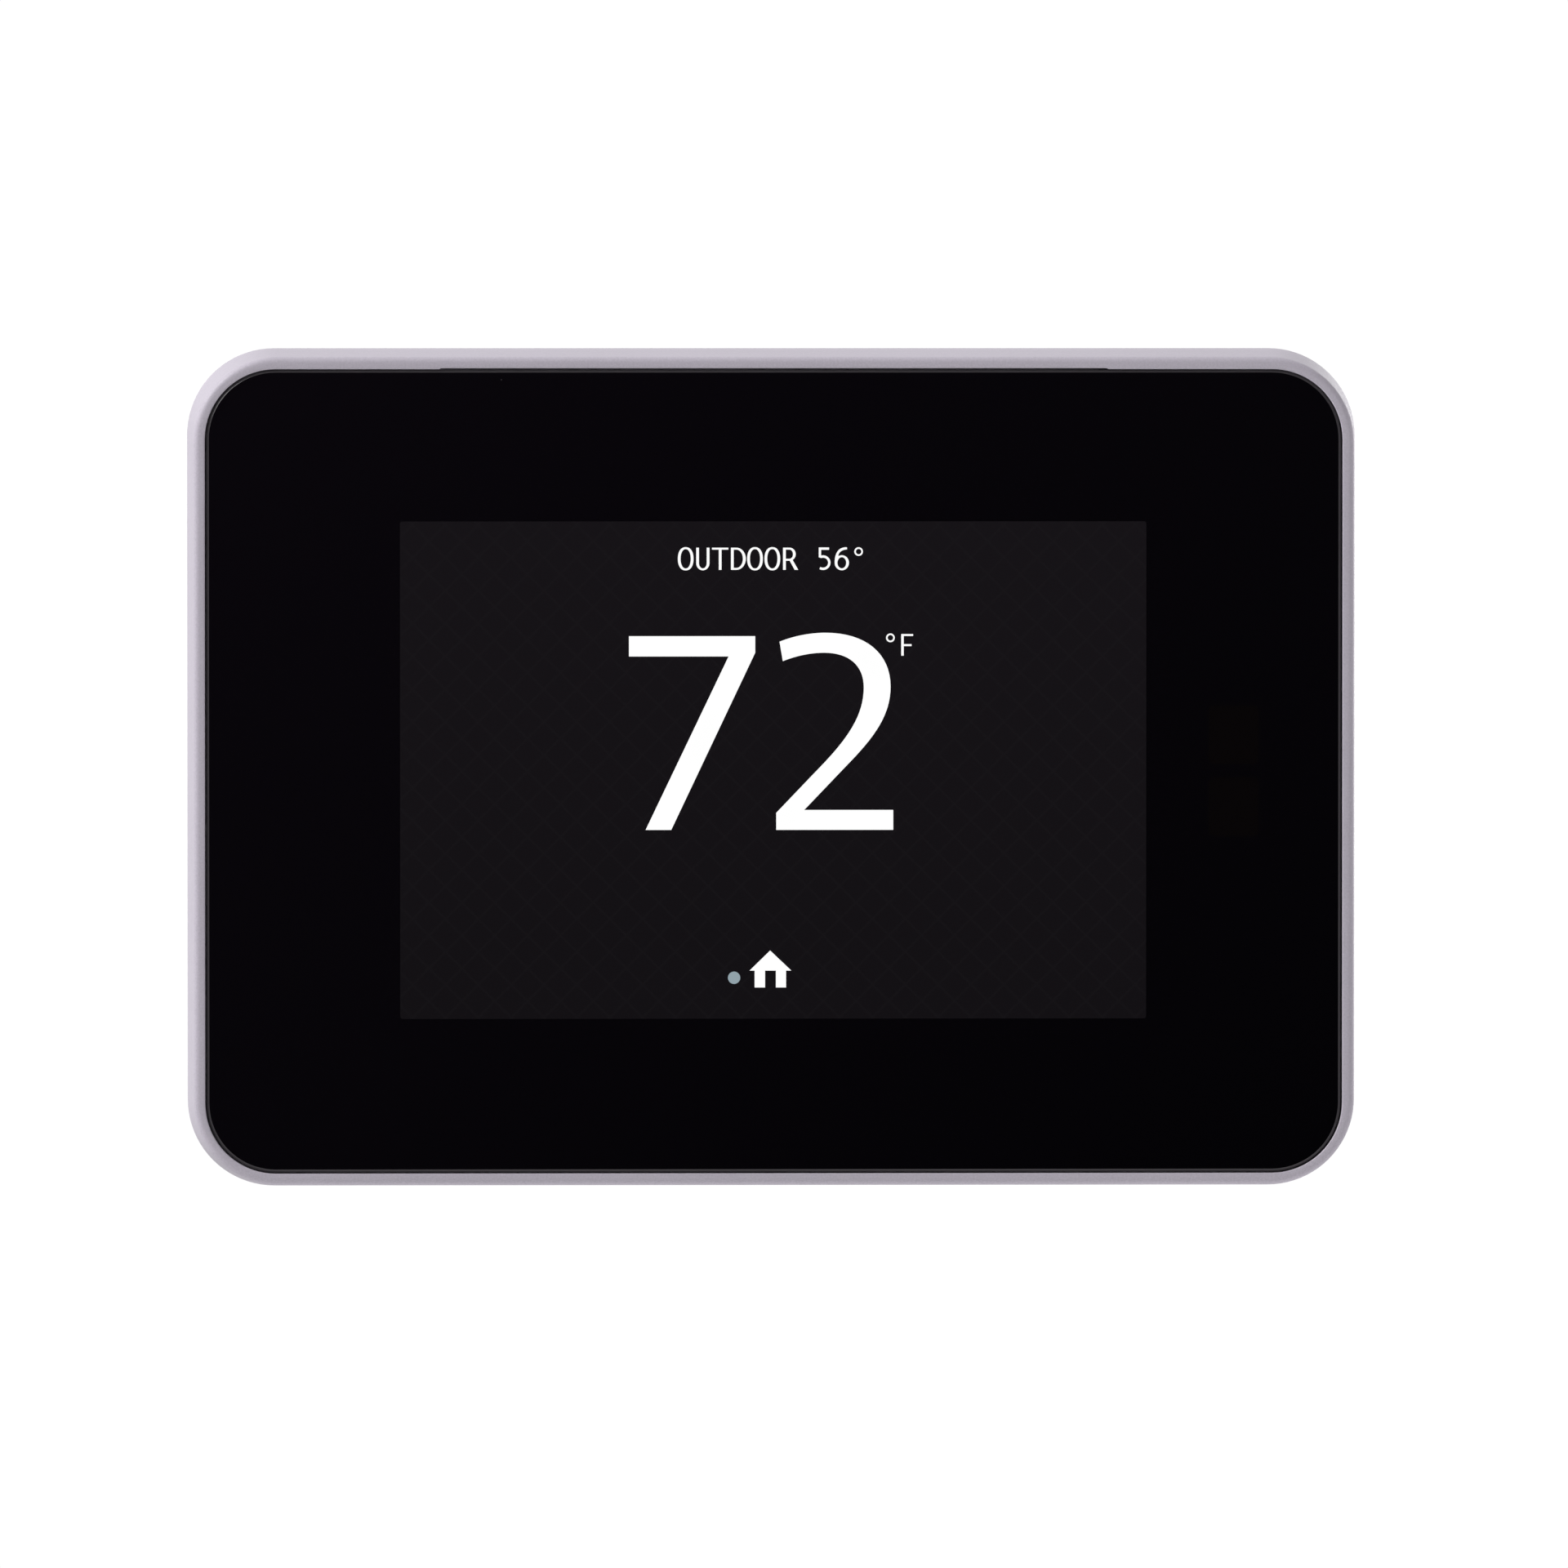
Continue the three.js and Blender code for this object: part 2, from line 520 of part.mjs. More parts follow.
function rearShell() {
  const floor = slab(
    roundedRectangle(SHELL.width, SHELL.height, SHELL.radius), SHELL.floorBack, SHELL.floorFront,
  );
  const skirt = slab(withHole(
    roundedRectangle(SHELL.skirtWidth, SHELL.skirtHeight, SHELL.skirtRadius),
    roundedRectangle(
      SHELL.skirtWidth - 2 * SHELL.skirtWall,
      SHELL.skirtHeight - 2 * SHELL.skirtWall,
      SHELL.skirtRadius - SHELL.skirtWall,
    ),
  ), SHELL.skirtBack, SHELL.floorBack + OVERLAP);
  const pocketWidth = 2 * POCKET.halfWidth;
  const pocketHeight = POCKET.top - POCKET.bottom;
  const pocketZ = (POCKET.top + POCKET.bottom) / 2;
  const pocketShell = slab(
    roundedRectangle(
      pocketWidth + 2 * POCKET.wall, pocketHeight + 2 * POCKET.wall,
      POCKET.radius + POCKET.wall, 0, pocketZ,
    ),
    SHELL.floorFront - OVERLAP, POCKET.floor + POCKET.wall,
  );
  const pocket = slab(
    roundedRectangle(pocketWidth, pocketHeight, POCKET.radius, 0, pocketZ),
    SHELL.floorBack - CLEAR, POCKET.floor,
  );
  const pads = atCorners(CASE_SCREW.x, CASE_SCREW.z, (x, z) => post(
    CASE_SCREW.padRadius, x, z, SHELL.floorFront - OVERLAP, CASE_SCREW.padFront,
  ));
  const bosses = atCorners(BOARD_SCREW.x, BOARD_SCREW.z, (x, z) => post(
    BOARD_SCREW.bossRadius, x, z, SHELL.floorFront - OVERLAP, MAIN_BOARD.back - SOLDER_GAP,
  ));

  const headRecesses = atCorners(CASE_SCREW.x, CASE_SCREW.z, (x, z) => post(
    LONG_SCREW.headRadius + LONG_SCREW.headClearance, x, z, SHELL.floorBack - CLEAR, SHELL.floorFront,
  ));
  const caseHoles = atCorners(CASE_SCREW.x, CASE_SCREW.z, (x, z) => post(
    LONG_SCREW.holeRadius, x, z, SHELL.floorBack, CASE_SCREW.padFront + CLEAR,
  ));
  const boardHoles = atCorners(BOARD_SCREW.x, BOARD_SCREW.z, (x, z) => post(
    SHEET_SCREW.holeRadius, x, z, BOARD_SCREW.holeBack, MAIN_BOARD.back + CLEAR,
  ));
  const socketOpening = slab(rectangle(
    HEADER.width + 2 * SOCKET_DEPTH.openingMargin,
    HEADER.height + 2 * SOCKET_DEPTH.openingMargin,
    0, HEADER.z,
  ), SHELL.floorBack - CLEAR, SHELL.floorFront + CLEAR);
  const snapSlots = atCorners(SNAP.x, (SNAP_SLOT.inside + SNAP_SLOT.outside) / 2, (x, z) => slab(
    rectangle(SNAP_SLOT.width, SNAP_SLOT.outside - SNAP_SLOT.inside, x, z),
    SHELL.floorBack - CLEAR, SHELL.floorFront + CLEAR,
  ));
  const skirtVents = [-1, 1].flatMap((side) => inRow(SKIRT_VENT.count, SKIRT_VENT.pitch, (x) => slab(
    rectangle(SKIRT_VENT.width, SKIRT_VENT.reach, x, side * SHELL.skirtHeight / 2),
    SKIRT_VENT.back, SKIRT_VENT.front,
  )));
  const floorVents = inRow(FLOOR_VENT.count, FLOOR_VENT.pitch, (x) => slab(
    rectangle(FLOOR_VENT.width, FLOOR_VENT.height, x, FLOOR_VENT.z),
    SHELL.floorBack - CLEAR, SHELL.floorFront + CLEAR,
  ));

  return cut(union([floor, skirt, pocketShell, ...pads, ...bosses]), [
    pocket, ...headRecesses, ...caseHoles, ...boardHoles, socketOpening,
    ...snapSlots, ...skirtVents, ...floorVents,
  ]);
}

place(bodySide, "rear_shell", rearShell(), WHITE_PLASTIC);

atCorners(CASE_SCREW.x, CASE_SCREW.z, (x, z) => [x, z]).forEach(([x, z], index) => {
  const mesh = place(
    bodySide, `rear_shell_screw_${index + 1}`, screw(LONG_SCREW, CASE_SCREW.length), STEEL,
    x, SHELL.floorFront - SOLDER_GAP, z,
  );
  mesh.rotation.x = Math.PI;
});

// ---- Main board and what is on it ----------------------------------------------------------

function mainBoard() {
  const blank = slab(rectangle(MAIN_BOARD.width, MAIN_BOARD.height), MAIN_BOARD.back, MAIN_BOARD.front);
  const notches = atCorners(MAIN_BOARD.width / 2, MAIN_BOARD.height / 2, (x, z) => slab(
    rectangle(2 * MAIN_BOARD.notchWidth, 2 * MAIN_BOARD.notchHeight, x, z),
    MAIN_BOARD.back - CLEAR, MAIN_BOARD.front + CLEAR,
  ));
  const holes = atCorners(BOARD_SCREW.x, BOARD_SCREW.z, (x, z) => post(
    SHEET_SCREW.holeRadius, x, z, MAIN_BOARD.back - CLEAR, MAIN_BOARD.front + CLEAR,
  ));
  return cut(blank, [...notches, ...holes]);
}

place(bodySide, "main_board", mainBoard(), GREEN_BOARD);

atCorners(BOARD_SCREW.x, BOARD_SCREW.z, (x, z) => [x, z]).forEach(([x, z], index) => place(
  bodySide, `main_board_screw_${index + 1}`, screw(SHEET_SCREW, BOARD_SCREW.length), STEEL,
  x, MAIN_BOARD.front + SOLDER_GAP, z,
));

// A part soldered to the wall side of the main board, standing off it by part.stands.
function behindBoard(outline, part) {
  const front = MAIN_BOARD.back - SOLDER_GAP;
  return slab(outline, front - part.stands, front, { edge: part.edge ?? 0, segments: ROUND });
}

function boxBehindBoard(part) {
  return behindBoard(rectangle(part.width, part.height), part);
}

RELAY.z.forEach((z, index) => {
  place(bodySide, `relay_${index + 1}`, boxBehindBoard(RELAY), WHITE_PLASTIC, RELAY.x, 0, z);
});

function buzzer() {
  const can = behindBoard(disc(BUZZER.radius), BUZZER);
  return can.subtract(post(BUZZER.soundHole, 0, 0, MAIN_BOARD.back - 2 * BUZZER.stands, BUZZER.holeFront));
}

function shieldCan() {
  const { width, height, radius, sheet, stands } = SHIELD;
  const front = MAIN_BOARD.back - RADIO.stands - 2 * SOLDER_GAP;
  const outside = slab(roundedRectangle(width, height, radius), front - stands, front);
  const inside = slab(
    roundedRectangle(width - 2 * sheet, height - 2 * sheet, radius - sheet),
    front - stands + sheet, front + CLEAR,
  );
  return outside.subtract(inside);
}

place(bodySide, "buzzer", buzzer(), BLACK_PLASTIC, BUZZER.x, 0, BUZZER.z);
place(
  bodySide, "capacitor", behindBoard(disc(CAPACITOR.radius), CAPACITOR), TINNED_SHEET,
  CAPACITOR.x, 0, CAPACITOR.z,
);
place(bodySide, "processor", boxBehindBoard(PROCESSOR), CHIP_EPOXY, PROCESSOR.x, 0, PROCESSOR.z);
place(bodySide, "flash_memory", boxBehindBoard(FLASH), CHIP_EPOXY, FLASH.x, 0, FLASH.z);
place(bodySide, "wifi_module", boxBehindBoard(RADIO), DARK_BOARD, RADIO.x, 0, RADIO.z);
place(bodySide, "wifi_shield", shieldCan(), TINNED_SHEET, SHIELD.x, 0, SHIELD.z);

function coinCellHolder() {
  const { width, radius, notchWidth, notchHeight, notchFront } = CELL_HOLDER;
  const outline = () => roundedRectangle(width, width, radius);
  const baseBack = CELL.front + CELL.clearance;
  const base = slab(outline(), baseBack, MAIN_BOARD.back - SOLDER_GAP);
  const wall = slab(
    withHole(outline(), disc(CELL.radius + CELL.clearance)),
    CELL.back - CELL.clearance, baseBack + OVERLAP / 2, { segments: ROUND },
  );
  const fingerNotch = slab(
    rectangle(notchWidth, notchHeight, 0, -CELL.radius), CELL.back - CLEAR, notchFront,
  );
  return base.add(wall).subtract(fingerNotch);
}

const coinCell = slab(disc(CELL.radius), CELL.back, CELL.front, { edge: CELL.edge, segments: ROUND });
place(bodySide, "coin_cell_holder", coinCellHolder(), BLACK_PLASTIC, CELL.x, 0, CELL.z);
place(bodySide, "coin_cell", coinCell, STEEL, CELL.x, 0, CELL.z);

// ---- Room sensor ----------------------------------------------------------------------------

function sensorBoard() {
  const board = slab(
    rectangle(SENSOR_BOARD.width, SENSOR_BOARD.height, 0, SENSOR_BOARD.z),
    SENSOR_BOARD.back, SENSOR_BOARD.front,
  );
  const pins = inRow(SENSOR_BOARD.pins, HEADER.pitch, (x) => slab(
    rectangle(HEADER_DEPTH.pin, HEADER_DEPTH.pin, x, SENSOR_BOARD.pinsZ),
    SENSOR_BOARD.front - OVERLAP, MAIN_BOARD.back - SOLDER_GAP,
  ));
  return union([board, ...pins]);
}

function humidityChip() {
  const { width, stands, portRadius, portDepth } = HUMIDITY_CHIP;
  return slab(rectangle(width, width), 0, stands).subtract(post(portRadius, 0, 0, -CLEAR, portDepth));
}

place(bodySide, "sensor_board", sensorBoard(), DARK_BOARD);
place(
  bodySide, "humidity_sensor", humidityChip(), CHIP_EPOXY,
  0, SENSOR_BOARD.back - SOLDER_GAP - HUMIDITY_CHIP.stands, SENSOR_BOARD.z,
);

// ---- Display stack ----------------------------------------------------------------------------

function displayTray() {
  const sheet = DISPLAY.trayBack + DISPLAY.traySheet;
  const outside = rectangle(DISPLAY.trayWidth, DISPLAY.trayHeight);
  const inside = rectangle(
    DISPLAY.trayWidth - 2 * DISPLAY.trayWall, DISPLAY.trayHeight - 2 * DISPLAY.trayWall,
  );
  return slab(outside, DISPLAY.trayBack, DISPLAY.back - SOLDER_GAP)
    .subtract(slab(inside, sheet, DISPLAY.front));
}

place(bodySide, "lcd_tray", displayTray(), TINNED_SHEET);
place(
  bodySide, "lcd_backlight",
  slab(
    rectangle(DISPLAY.lightWidth, DISPLAY.lightHeight),
    DISPLAY.lightBack, DISPLAY.back - 2 * SOLDER_GAP,
  ),
  LIGHT_GUIDE,
);
place(
  bodySide, "lcd_panel",
  slab(rectangle(DISPLAY.width, DISPLAY.height), DISPLAY.back, DISPLAY.front), PANEL_GLASS,
);
place(
  bodySide, "lcd_tape",
  slab(withHole(
    rectangle(TOUCH.width, DISPLAY.height),
    rectangle(DISPLAY.tapeInsideWidth, DISPLAY.tapeInsideHeight),
  ), DISPLAY.front + SOLDER_GAP, DISPLAY.tapeFront),
  BLACK_FOAM,
);
place(
  bodySide, "touch_sensor",
  slab(rectangle(TOUCH.width, TOUCH.height), TOUCH.back, TOUCH.front), CLEAR_FILM,
);

// ---- Ribbon cables ----------------------------------------------------------------------------

// The side view of a ribbon that leaves at one depth, turns back in a half circle on its
// negative side and returns at another depth.
function ribbonProfile(start, turn, end, front, back) {
  const middle = (front + back) / 2;
  const radius = (front - back) / 2;
  const half = FLEX_SHEET / 2;
  const profile = new THREE.Shape();
  profile.moveTo(start, front + half);
  profile.absarc(turn, middle, radius + half, Math.PI / 2, 1.5 * Math.PI);
  profile.lineTo(end, back - half);
  profile.lineTo(end, back + half);
  profile.absarc(turn, middle, radius - half, 1.5 * Math.PI, Math.PI / 2, true);
  profile.lineTo(start, front - half);
  profile.closePath();
  return profile;
}

const PLUG_FRONT = MAIN_BOARD.front + SOLDER_GAP + FLEX_PLUG.depth;
const RIBBON_BACK = PLUG_FRONT - FLEX_PLUG.depth / 2;

const displayRibbon = ribbonProfile(
  -DISPLAY.width / 2 - DISPLAY_RIBBON.gap, DISPLAY_RIBBON.turn, DISPLAY_RIBBON.end,
  DISPLAY_RIBBON.front, RIBBON_BACK,
);
place(
  bodySide, "lcd_flex", profileAlongZ(displayRibbon, DISPLAY_RIBBON.width, 0, FINE_CORNER), AMBER_FILM,
);
place(
  bodySide, "lcd_flex_connector",
  slab(rectangle(FLEX_PLUG.height, DISPLAY_PLUG.width), MAIN_BOARD.front + SOLDER_GAP, PLUG_FRONT),
  WHITE_PLASTIC, DISPLAY_PLUG.x,
);

const touchRibbon = ribbonProfile(
  -TOUCH.height / 2 - TOUCH_RIBBON.gap, TOUCH_RIBBON.turn, TOUCH_RIBBON.end,
  TOUCH_RIBBON.front, RIBBON_BACK,
);
place(
  bodySide, "touch_flex",
  profileAlongX(touchRibbon, TOUCH_RIBBON.width, TOUCH_RIBBON.x, FINE_CORNER), AMBER_FILM,
);
place(
  bodySide, "touch_flex_connector",
  slab(rectangle(TOUCH_PLUG.width, FLEX_PLUG.height), MAIN_BOARD.front + SOLDER_GAP, PLUG_FRONT),
  WHITE_PLASTIC, TOUCH_RIBBON.x, 0, TOUCH_PLUG.z,
);

// ---- Proximity sensor behind the glass --------------------------------------------------------

function proximitySensor() {
  const { left, right, halfHeight, board, face, x, z, eye } = PROXIMITY;
  const base = slab(between(left, right, -halfHeight, halfHeight), board, face);
  const leg = slab(
    between(PROXIMITY.legLeft, PROXIMITY.legRight, -PROXIMITY.legHalfHeight, PROXIMITY.legHalfHeight),
    MAIN_BOARD.front + SOLDER_GAP, board + OVERLAP,
  );
  const eyes = [-1, 1].map((side) => slab(
    rectangle(PROXIMITY.eyeWidth, PROXIMITY.eyeHeight, x, side * z), face - OVERLAP, eye,
  ));
  const lenses = [-1, 1].map((side) => post(
    PROXIMITY.lensRadius, x, side * z, eye - PROXIMITY.lensDepth, eye + CLEAR,
  ));
  return cut(union([base, leg, ...eyes]), lenses);
}

place(bodySide, "proximity_sensor", proximitySensor(), DARK_BOARD);

// ---- Front glass and bezel ----------------------------------------------------------------------

place(
  bodySide, "glass_gasket",
  slab(withHole(
    roundedRectangle(GASKET.width, GASKET.height, GASKET.radius),
    roundedRectangle(GASKET.insideWidth, GASKET.insideHeight, GASKET.radius),
  ), BEZEL.ledgeFront + SOLDER_GAP, GLASS.back - SOLDER_GAP),
  BLACK_FOAM,
);
place(
  bodySide, "front_glass",
  slab(
    roundedRectangle(GLASS.width, GLASS.height, GLASS.radius), GLASS.back, GLASS.front,
    { edge: GLASS.edge, segments: FINE_CORNER },
  ),
  BLACK_GLASS,
);

// The bezel's outer form: its sides lean in evenly from the back to the front.
function bezelForm() {
  const geometry = slabGeometry(
    roundedRectangle(BEZEL.width, BEZEL.height, BEZEL.radius), BEZEL.back, BEZEL.front,
    { edge: BEZEL.edge, edgeSteps: BEZEL.edgeSteps, segments: FINE_CORNER },
  );
  const position = geometry.attributes.position;
  for (let index = 0; index < position.count; index += 1) {
    const travel = (-position.getY(index) - BEZEL.back) / (BEZEL.front - BEZEL.back);
    const lean = 2 * BEZEL.draft * travel;
    position.setX(index, position.getX(index) * (1 - lean / BEZEL.width));
    position.setZ(index, position.getZ(index) * (1 - lean / BEZEL.height));
  }
  return solid(geometry);
}

function frontBezel() {
  const cavity = slab(
    roundedRectangle(BEZEL.cavityWidth, BEZEL.cavityHeight, BEZEL.cavityRadius),
    BEZEL.back - CLEAR, BEZEL.ledgeBack,
  );
  const ledgeOpening = slab(
    roundedRectangle(BEZEL.ledgeWidth, BEZEL.ledgeHeight, BEZEL.ledgeRadius),
    BEZEL.ledgeBack - CLEAR, BEZEL.front,
  );
  const glassSeat = slab(
    roundedRectangle(GLASS.openingWidth, GLASS.openingHeight, GLASS.openingRadius),
    BEZEL.ledgeFront, BEZEL.front + CLEAR, { segments: FINE_CORNER },
  );
  const relief = slab(
    rectangle(BEZEL.reliefWidth, 2 * BEZEL.reliefRise, 0, GLASS.openingHeight / 2),
    BEZEL.ledgeFront, BEZEL.front + CLEAR,
  );
  const bosses = atCorners(CASE_SCREW.x, CASE_SCREW.z, (x, z) => post(
    CASE_SCREW.bossRadius, x, z, CASE_SCREW.bossBack, BEZEL.ledgeBack + OVERLAP,
  ));
  const bossHoles = atCorners(CASE_SCREW.x, CASE_SCREW.z, (x, z) => post(
    LONG_SCREW.holeRadius, x, z,
    CASE_SCREW.bossBack - CLEAR, CASE_SCREW.bossBack + CASE_SCREW.holeDepth,
  ));
  const ring = cut(bezelForm(), [cavity, ledgeOpening, glassSeat, relief]);
  return cut(union([ring, ...bosses]), bossHoles);
}

place(bodySide, "front_bezel", frontBezel(), SILVER_PLASTIC);

export default thermostat;
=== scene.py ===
"""Looks of the wall thermostat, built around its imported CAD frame.

Everything is in metres, in the frame's own axes: X right, Z up, the front looks along -Y and
the wall is the plane y = 0. A depth is a distance out from the wall, so depth d lies at y = -d.
"""

import json
import math
import random

import bmesh
import bpy
from mathutils import Matrix, Vector


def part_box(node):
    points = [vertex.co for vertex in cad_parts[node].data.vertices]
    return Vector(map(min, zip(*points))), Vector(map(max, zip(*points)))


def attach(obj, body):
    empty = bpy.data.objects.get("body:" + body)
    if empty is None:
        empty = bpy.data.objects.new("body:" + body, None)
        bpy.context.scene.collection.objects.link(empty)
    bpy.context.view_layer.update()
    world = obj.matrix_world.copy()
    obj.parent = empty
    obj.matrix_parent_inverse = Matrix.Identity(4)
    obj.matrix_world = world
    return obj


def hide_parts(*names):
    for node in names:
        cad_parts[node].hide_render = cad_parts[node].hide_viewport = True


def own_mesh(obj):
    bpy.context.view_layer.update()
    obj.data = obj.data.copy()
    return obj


MM = 0.001
BODY = "thermostat_body"
WALL = "wall_plate"
FLAT_ANGLE = math.radians(0.4)
SHARP_ANGLE = math.radians(40)

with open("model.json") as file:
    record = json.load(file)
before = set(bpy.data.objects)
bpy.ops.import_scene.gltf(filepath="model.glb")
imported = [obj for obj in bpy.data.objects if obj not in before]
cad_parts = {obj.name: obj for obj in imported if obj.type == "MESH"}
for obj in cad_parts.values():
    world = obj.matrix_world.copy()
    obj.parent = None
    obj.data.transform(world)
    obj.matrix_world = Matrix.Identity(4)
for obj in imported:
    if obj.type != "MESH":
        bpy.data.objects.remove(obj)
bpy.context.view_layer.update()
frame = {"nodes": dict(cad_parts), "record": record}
nodes = frame["nodes"]
random.seed(7)


# ---- Mesh helpers ------------------------------------

def new_object(name, data):
    """An object in the scene for a mesh, a curve, a camera or a light."""
    obj = bpy.data.objects.new(name, data)
    bpy.context.scene.collection.objects.link(obj)
    return obj


def new_piece(name, mesh, body, material):
    """An object for a finished mesh, riding on a body, with its look."""
    piece = new_object(name, mesh)
    mesh.materials.append(material)
    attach(piece, body)
    return piece


def mesh_from(build):
    """A mesh filled by build(bm), with outward normals."""
    bm = bmesh.new()
    build(bm)
    bmesh.ops.recalc_face_normals(bm, faces=bm.faces[:])
    mesh = bpy.data.meshes.new("mesh")
    bm.to_mesh(mesh)
    bm.free()
    return mesh


def shade(obj, angle):
    """Smooth shading, with edges sharper than the angle in degrees kept."""
    mesh = obj.data
    bm = bmesh.new()
    bm.from_mesh(mesh)
    limit = math.radians(angle)
    for face in bm.faces:
        face.smooth = True
    for edge in bm.edges:
        edge.smooth = not (edge.is_manifold and edge.calc_face_angle(0.0) > limit)
    bm.to_mesh(mesh)
    bm.free()


def rounded_loop(half_x, half_z, radius, steps):
    """Points (x, z) of a rounded rectangle, anticlockwise seen from the front."""
    points = []
    corners = ((1, -1, -90), (1, 1, 0), (-1, 1, 90), (-1, -1, 180))
    for sign_x, sign_z, start in corners:
        centre_x = sign_x * (half_x - radius)
        centre_z = sign_z * (half_z - radius)
        for step in range(steps + 1):
            angle = math.radians(start + 90 * step / steps)
            points.append((
                centre_x + radius * math.cos(angle), centre_z + radius * math.sin(angle),
            ))
    return points


def turn(centre, radius_x, radius_z, start, end, steps=20):
    """Points on an ellipse from one angle to another, in degrees."""
    points = []
    for step in range(steps + 1):
        angle = math.radians(start + (end - start) * step / steps)
        points.append((
            centre[0] + radius_x * math.cos(angle), centre[1] + radius_z * math.sin(angle),
        ))
    return points


def moved(points, x, z):
    return [(px + x, pz + z) for px, pz in points]


def loop_at(bm, points, depth):
    """New vertices at the points (x, z), all at one depth."""
    return [bm.verts.new((x, -depth, z)) for x, z in points]


def bridge(bm, first, second):
    """A closed band of faces between two loops."""
    count = len(first)
    for i in range(count):
        j = (i + 1) % count
        bm.faces.new((first[i], first[j], second[j], second[i]))


def skin(bm, loops):
    """A closed solid: bands between the loops, and a face over the first and the last."""
    for first, second in zip(loops, loops[1:]):
        bridge(bm, first, second)
    bm.faces.new(loops[0])
    bm.faces.new(loops[-1])


def break_edges(obj, width):
    """Modifiers that join a faceted solid's flat faces and round its sharp edges."""
    flat = obj.modifiers.new("flat_faces", "DECIMATE")
    flat.decimate_type = "DISSOLVE"
    flat.angle_limit = FLAT_ANGLE
    bevel = obj.modifiers.new("edges", "BEVEL")
    bevel.width = width
    bevel.segments = 2
    bevel.limit_method = "ANGLE"
    bevel.angle_limit = SHARP_ANGLE
    bevel.harden_normals = True


def carved(blank_mesh, cutter_mesh, overlapping=False, edge=None):
    """The first mesh less the second, with its edges broken if a width is given."""
    blank = new_object("blank", blank_mesh)
    cutter = new_object("cutter", cutter_mesh)
    marks = blank.modifiers.new("marks", "BOOLEAN")
    marks.operation = "DIFFERENCE"
    marks.solver = "EXACT"
    marks.use_self = overlapping
    marks.object = cutter
    if edge is not None:
        break_edges(blank, edge)
    shape = bpy.data.meshes.new_from_object(
        blank.evaluated_get(bpy.context.evaluated_depsgraph_get()),
    )
    for helper in (blank, cutter):
        bpy.data.objects.remove(helper)
    shape.materials.clear()
    return shape


# ---- Camera ------------------------------------------

CAMERA_DISTANCE = 2.1


def make_camera():
    """A long lens well in front of the bezel, a little left of its middle and above it."""
    data = bpy.data.cameras.new("camera")
    data.sensor_width = 36
    data.lens = 431.1
    camera = new_object("camera", data)
    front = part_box("front_bezel")[0].y
    camera.location = (-0.0404, front - CAMERA_DISTANCE, 0.0631)
    aim = Vector((0.00112, front, -0.00144))
    camera.rotation_mode = "QUATERNION"
    camera.rotation_quaternion = (aim - camera.location).to_track_quat("-Z", "Y")
    data.clip_start = 0.05
    data.clip_end = 20
    bpy.context.scene.camera = camera


make_camera()


# ---- Studio ------------------------------------------

def preset(node, **sockets):
    """The node, with sockets set by name. An underscore stands for a space."""
    for socket, value in sockets.items():
        node.inputs[socket.replace("_", " ")].default_value = value
    return node


def make_world():
    """White behind the object and to its sides, dark in front, where the glass looks."""
    world = bpy.data.worlds.new("studio")
    bpy.context.scene.world = world
    world.use_nodes = True
    tree = world.node_tree
    tree.nodes.clear()
    add, link = tree.nodes.new, tree.links.new
    coords = add("ShaderNodeTexCoord")
    split = add("ShaderNodeSeparateXYZ")
    ramp = add("ShaderNodeMapRange")
    ramp.interpolation_type = "SMOOTHSTEP"
    preset(ramp, From_Min=-0.75, From_Max=0.15, To_Min=0.02, To_Max=0.60)
    seen = preset(add("ShaderNodeBackground"), Color=(1, 1, 1, 1), Strength=1.02)
    lighting = preset(add("ShaderNodeBackground"), Color=(1, 1, 1, 1))
    rays = add("ShaderNodeLightPath")
    mix = add("ShaderNodeMixShader")
    out = add("ShaderNodeOutputWorld")
    link(coords.outputs["Generated"], split.inputs[0])
    link(split.outputs["Y"], ramp.inputs["Value"])
    link(ramp.outputs["Result"], lighting.inputs["Strength"])
    link(rays.outputs["Is Camera Ray"], mix.inputs["Fac"])
    link(lighting.outputs[0], mix.inputs[1])
    link(seen.outputs[0], mix.inputs[2])
    link(mix.outputs[0], out.inputs["Surface"])


def make_light(name, location, size, watts):
    """A soft square light that looks at the object and isn't seen itself."""
    data = bpy.data.lights.new(name, "AREA")
    data.shape = "RECTANGLE"
    data.size = data.size_y = size
    data.energy = watts
    light = new_object(name, data)
    light.location = location
    light.rotation_mode = "QUATERNION"
    light.rotation_quaternion = (-Vector(location)).to_track_quat("-Z", "Y")
    light.visible_camera = False


def make_floor():
    """A wide pale floor, far enough down for the object to be seen from below."""
    mesh = mesh_from(lambda bm: bmesh.ops.create_grid(bm, x_segments=8, y_segments=8, size=4.5))
    floor = new_object("floor", mesh)
    floor.location.z = -1.15
    material = bpy.data.materials.new("pale_floor")
    material.use_nodes = True
    preset(
        material.node_tree.nodes["Principled BSDF"], Base_Color=(0.86, 0.86, 0.86, 1),
        Roughness=0.9, Emission_Color=(1, 1, 1, 1), Emission_Strength=0.15,
    )
    mesh.materials.append(material)


make_world()
make_light("key_upper_left", (-1.05, -0.28, 0.87), 0.7, 15.4)
make_light("fill_right", (0.75, -1.5, -0.15), 0.8, 4.9)
make_light("back_right", (0.8, 1.3, 0.3), 0.8, 5.0)
make_floor()
bpy.context.scene.view_settings.view_transform = "Standard"


# ---- Material helpers --------------------------------

WAVE_PERIOD = 0.31416  # what a wave texture of scale 1 repeats over


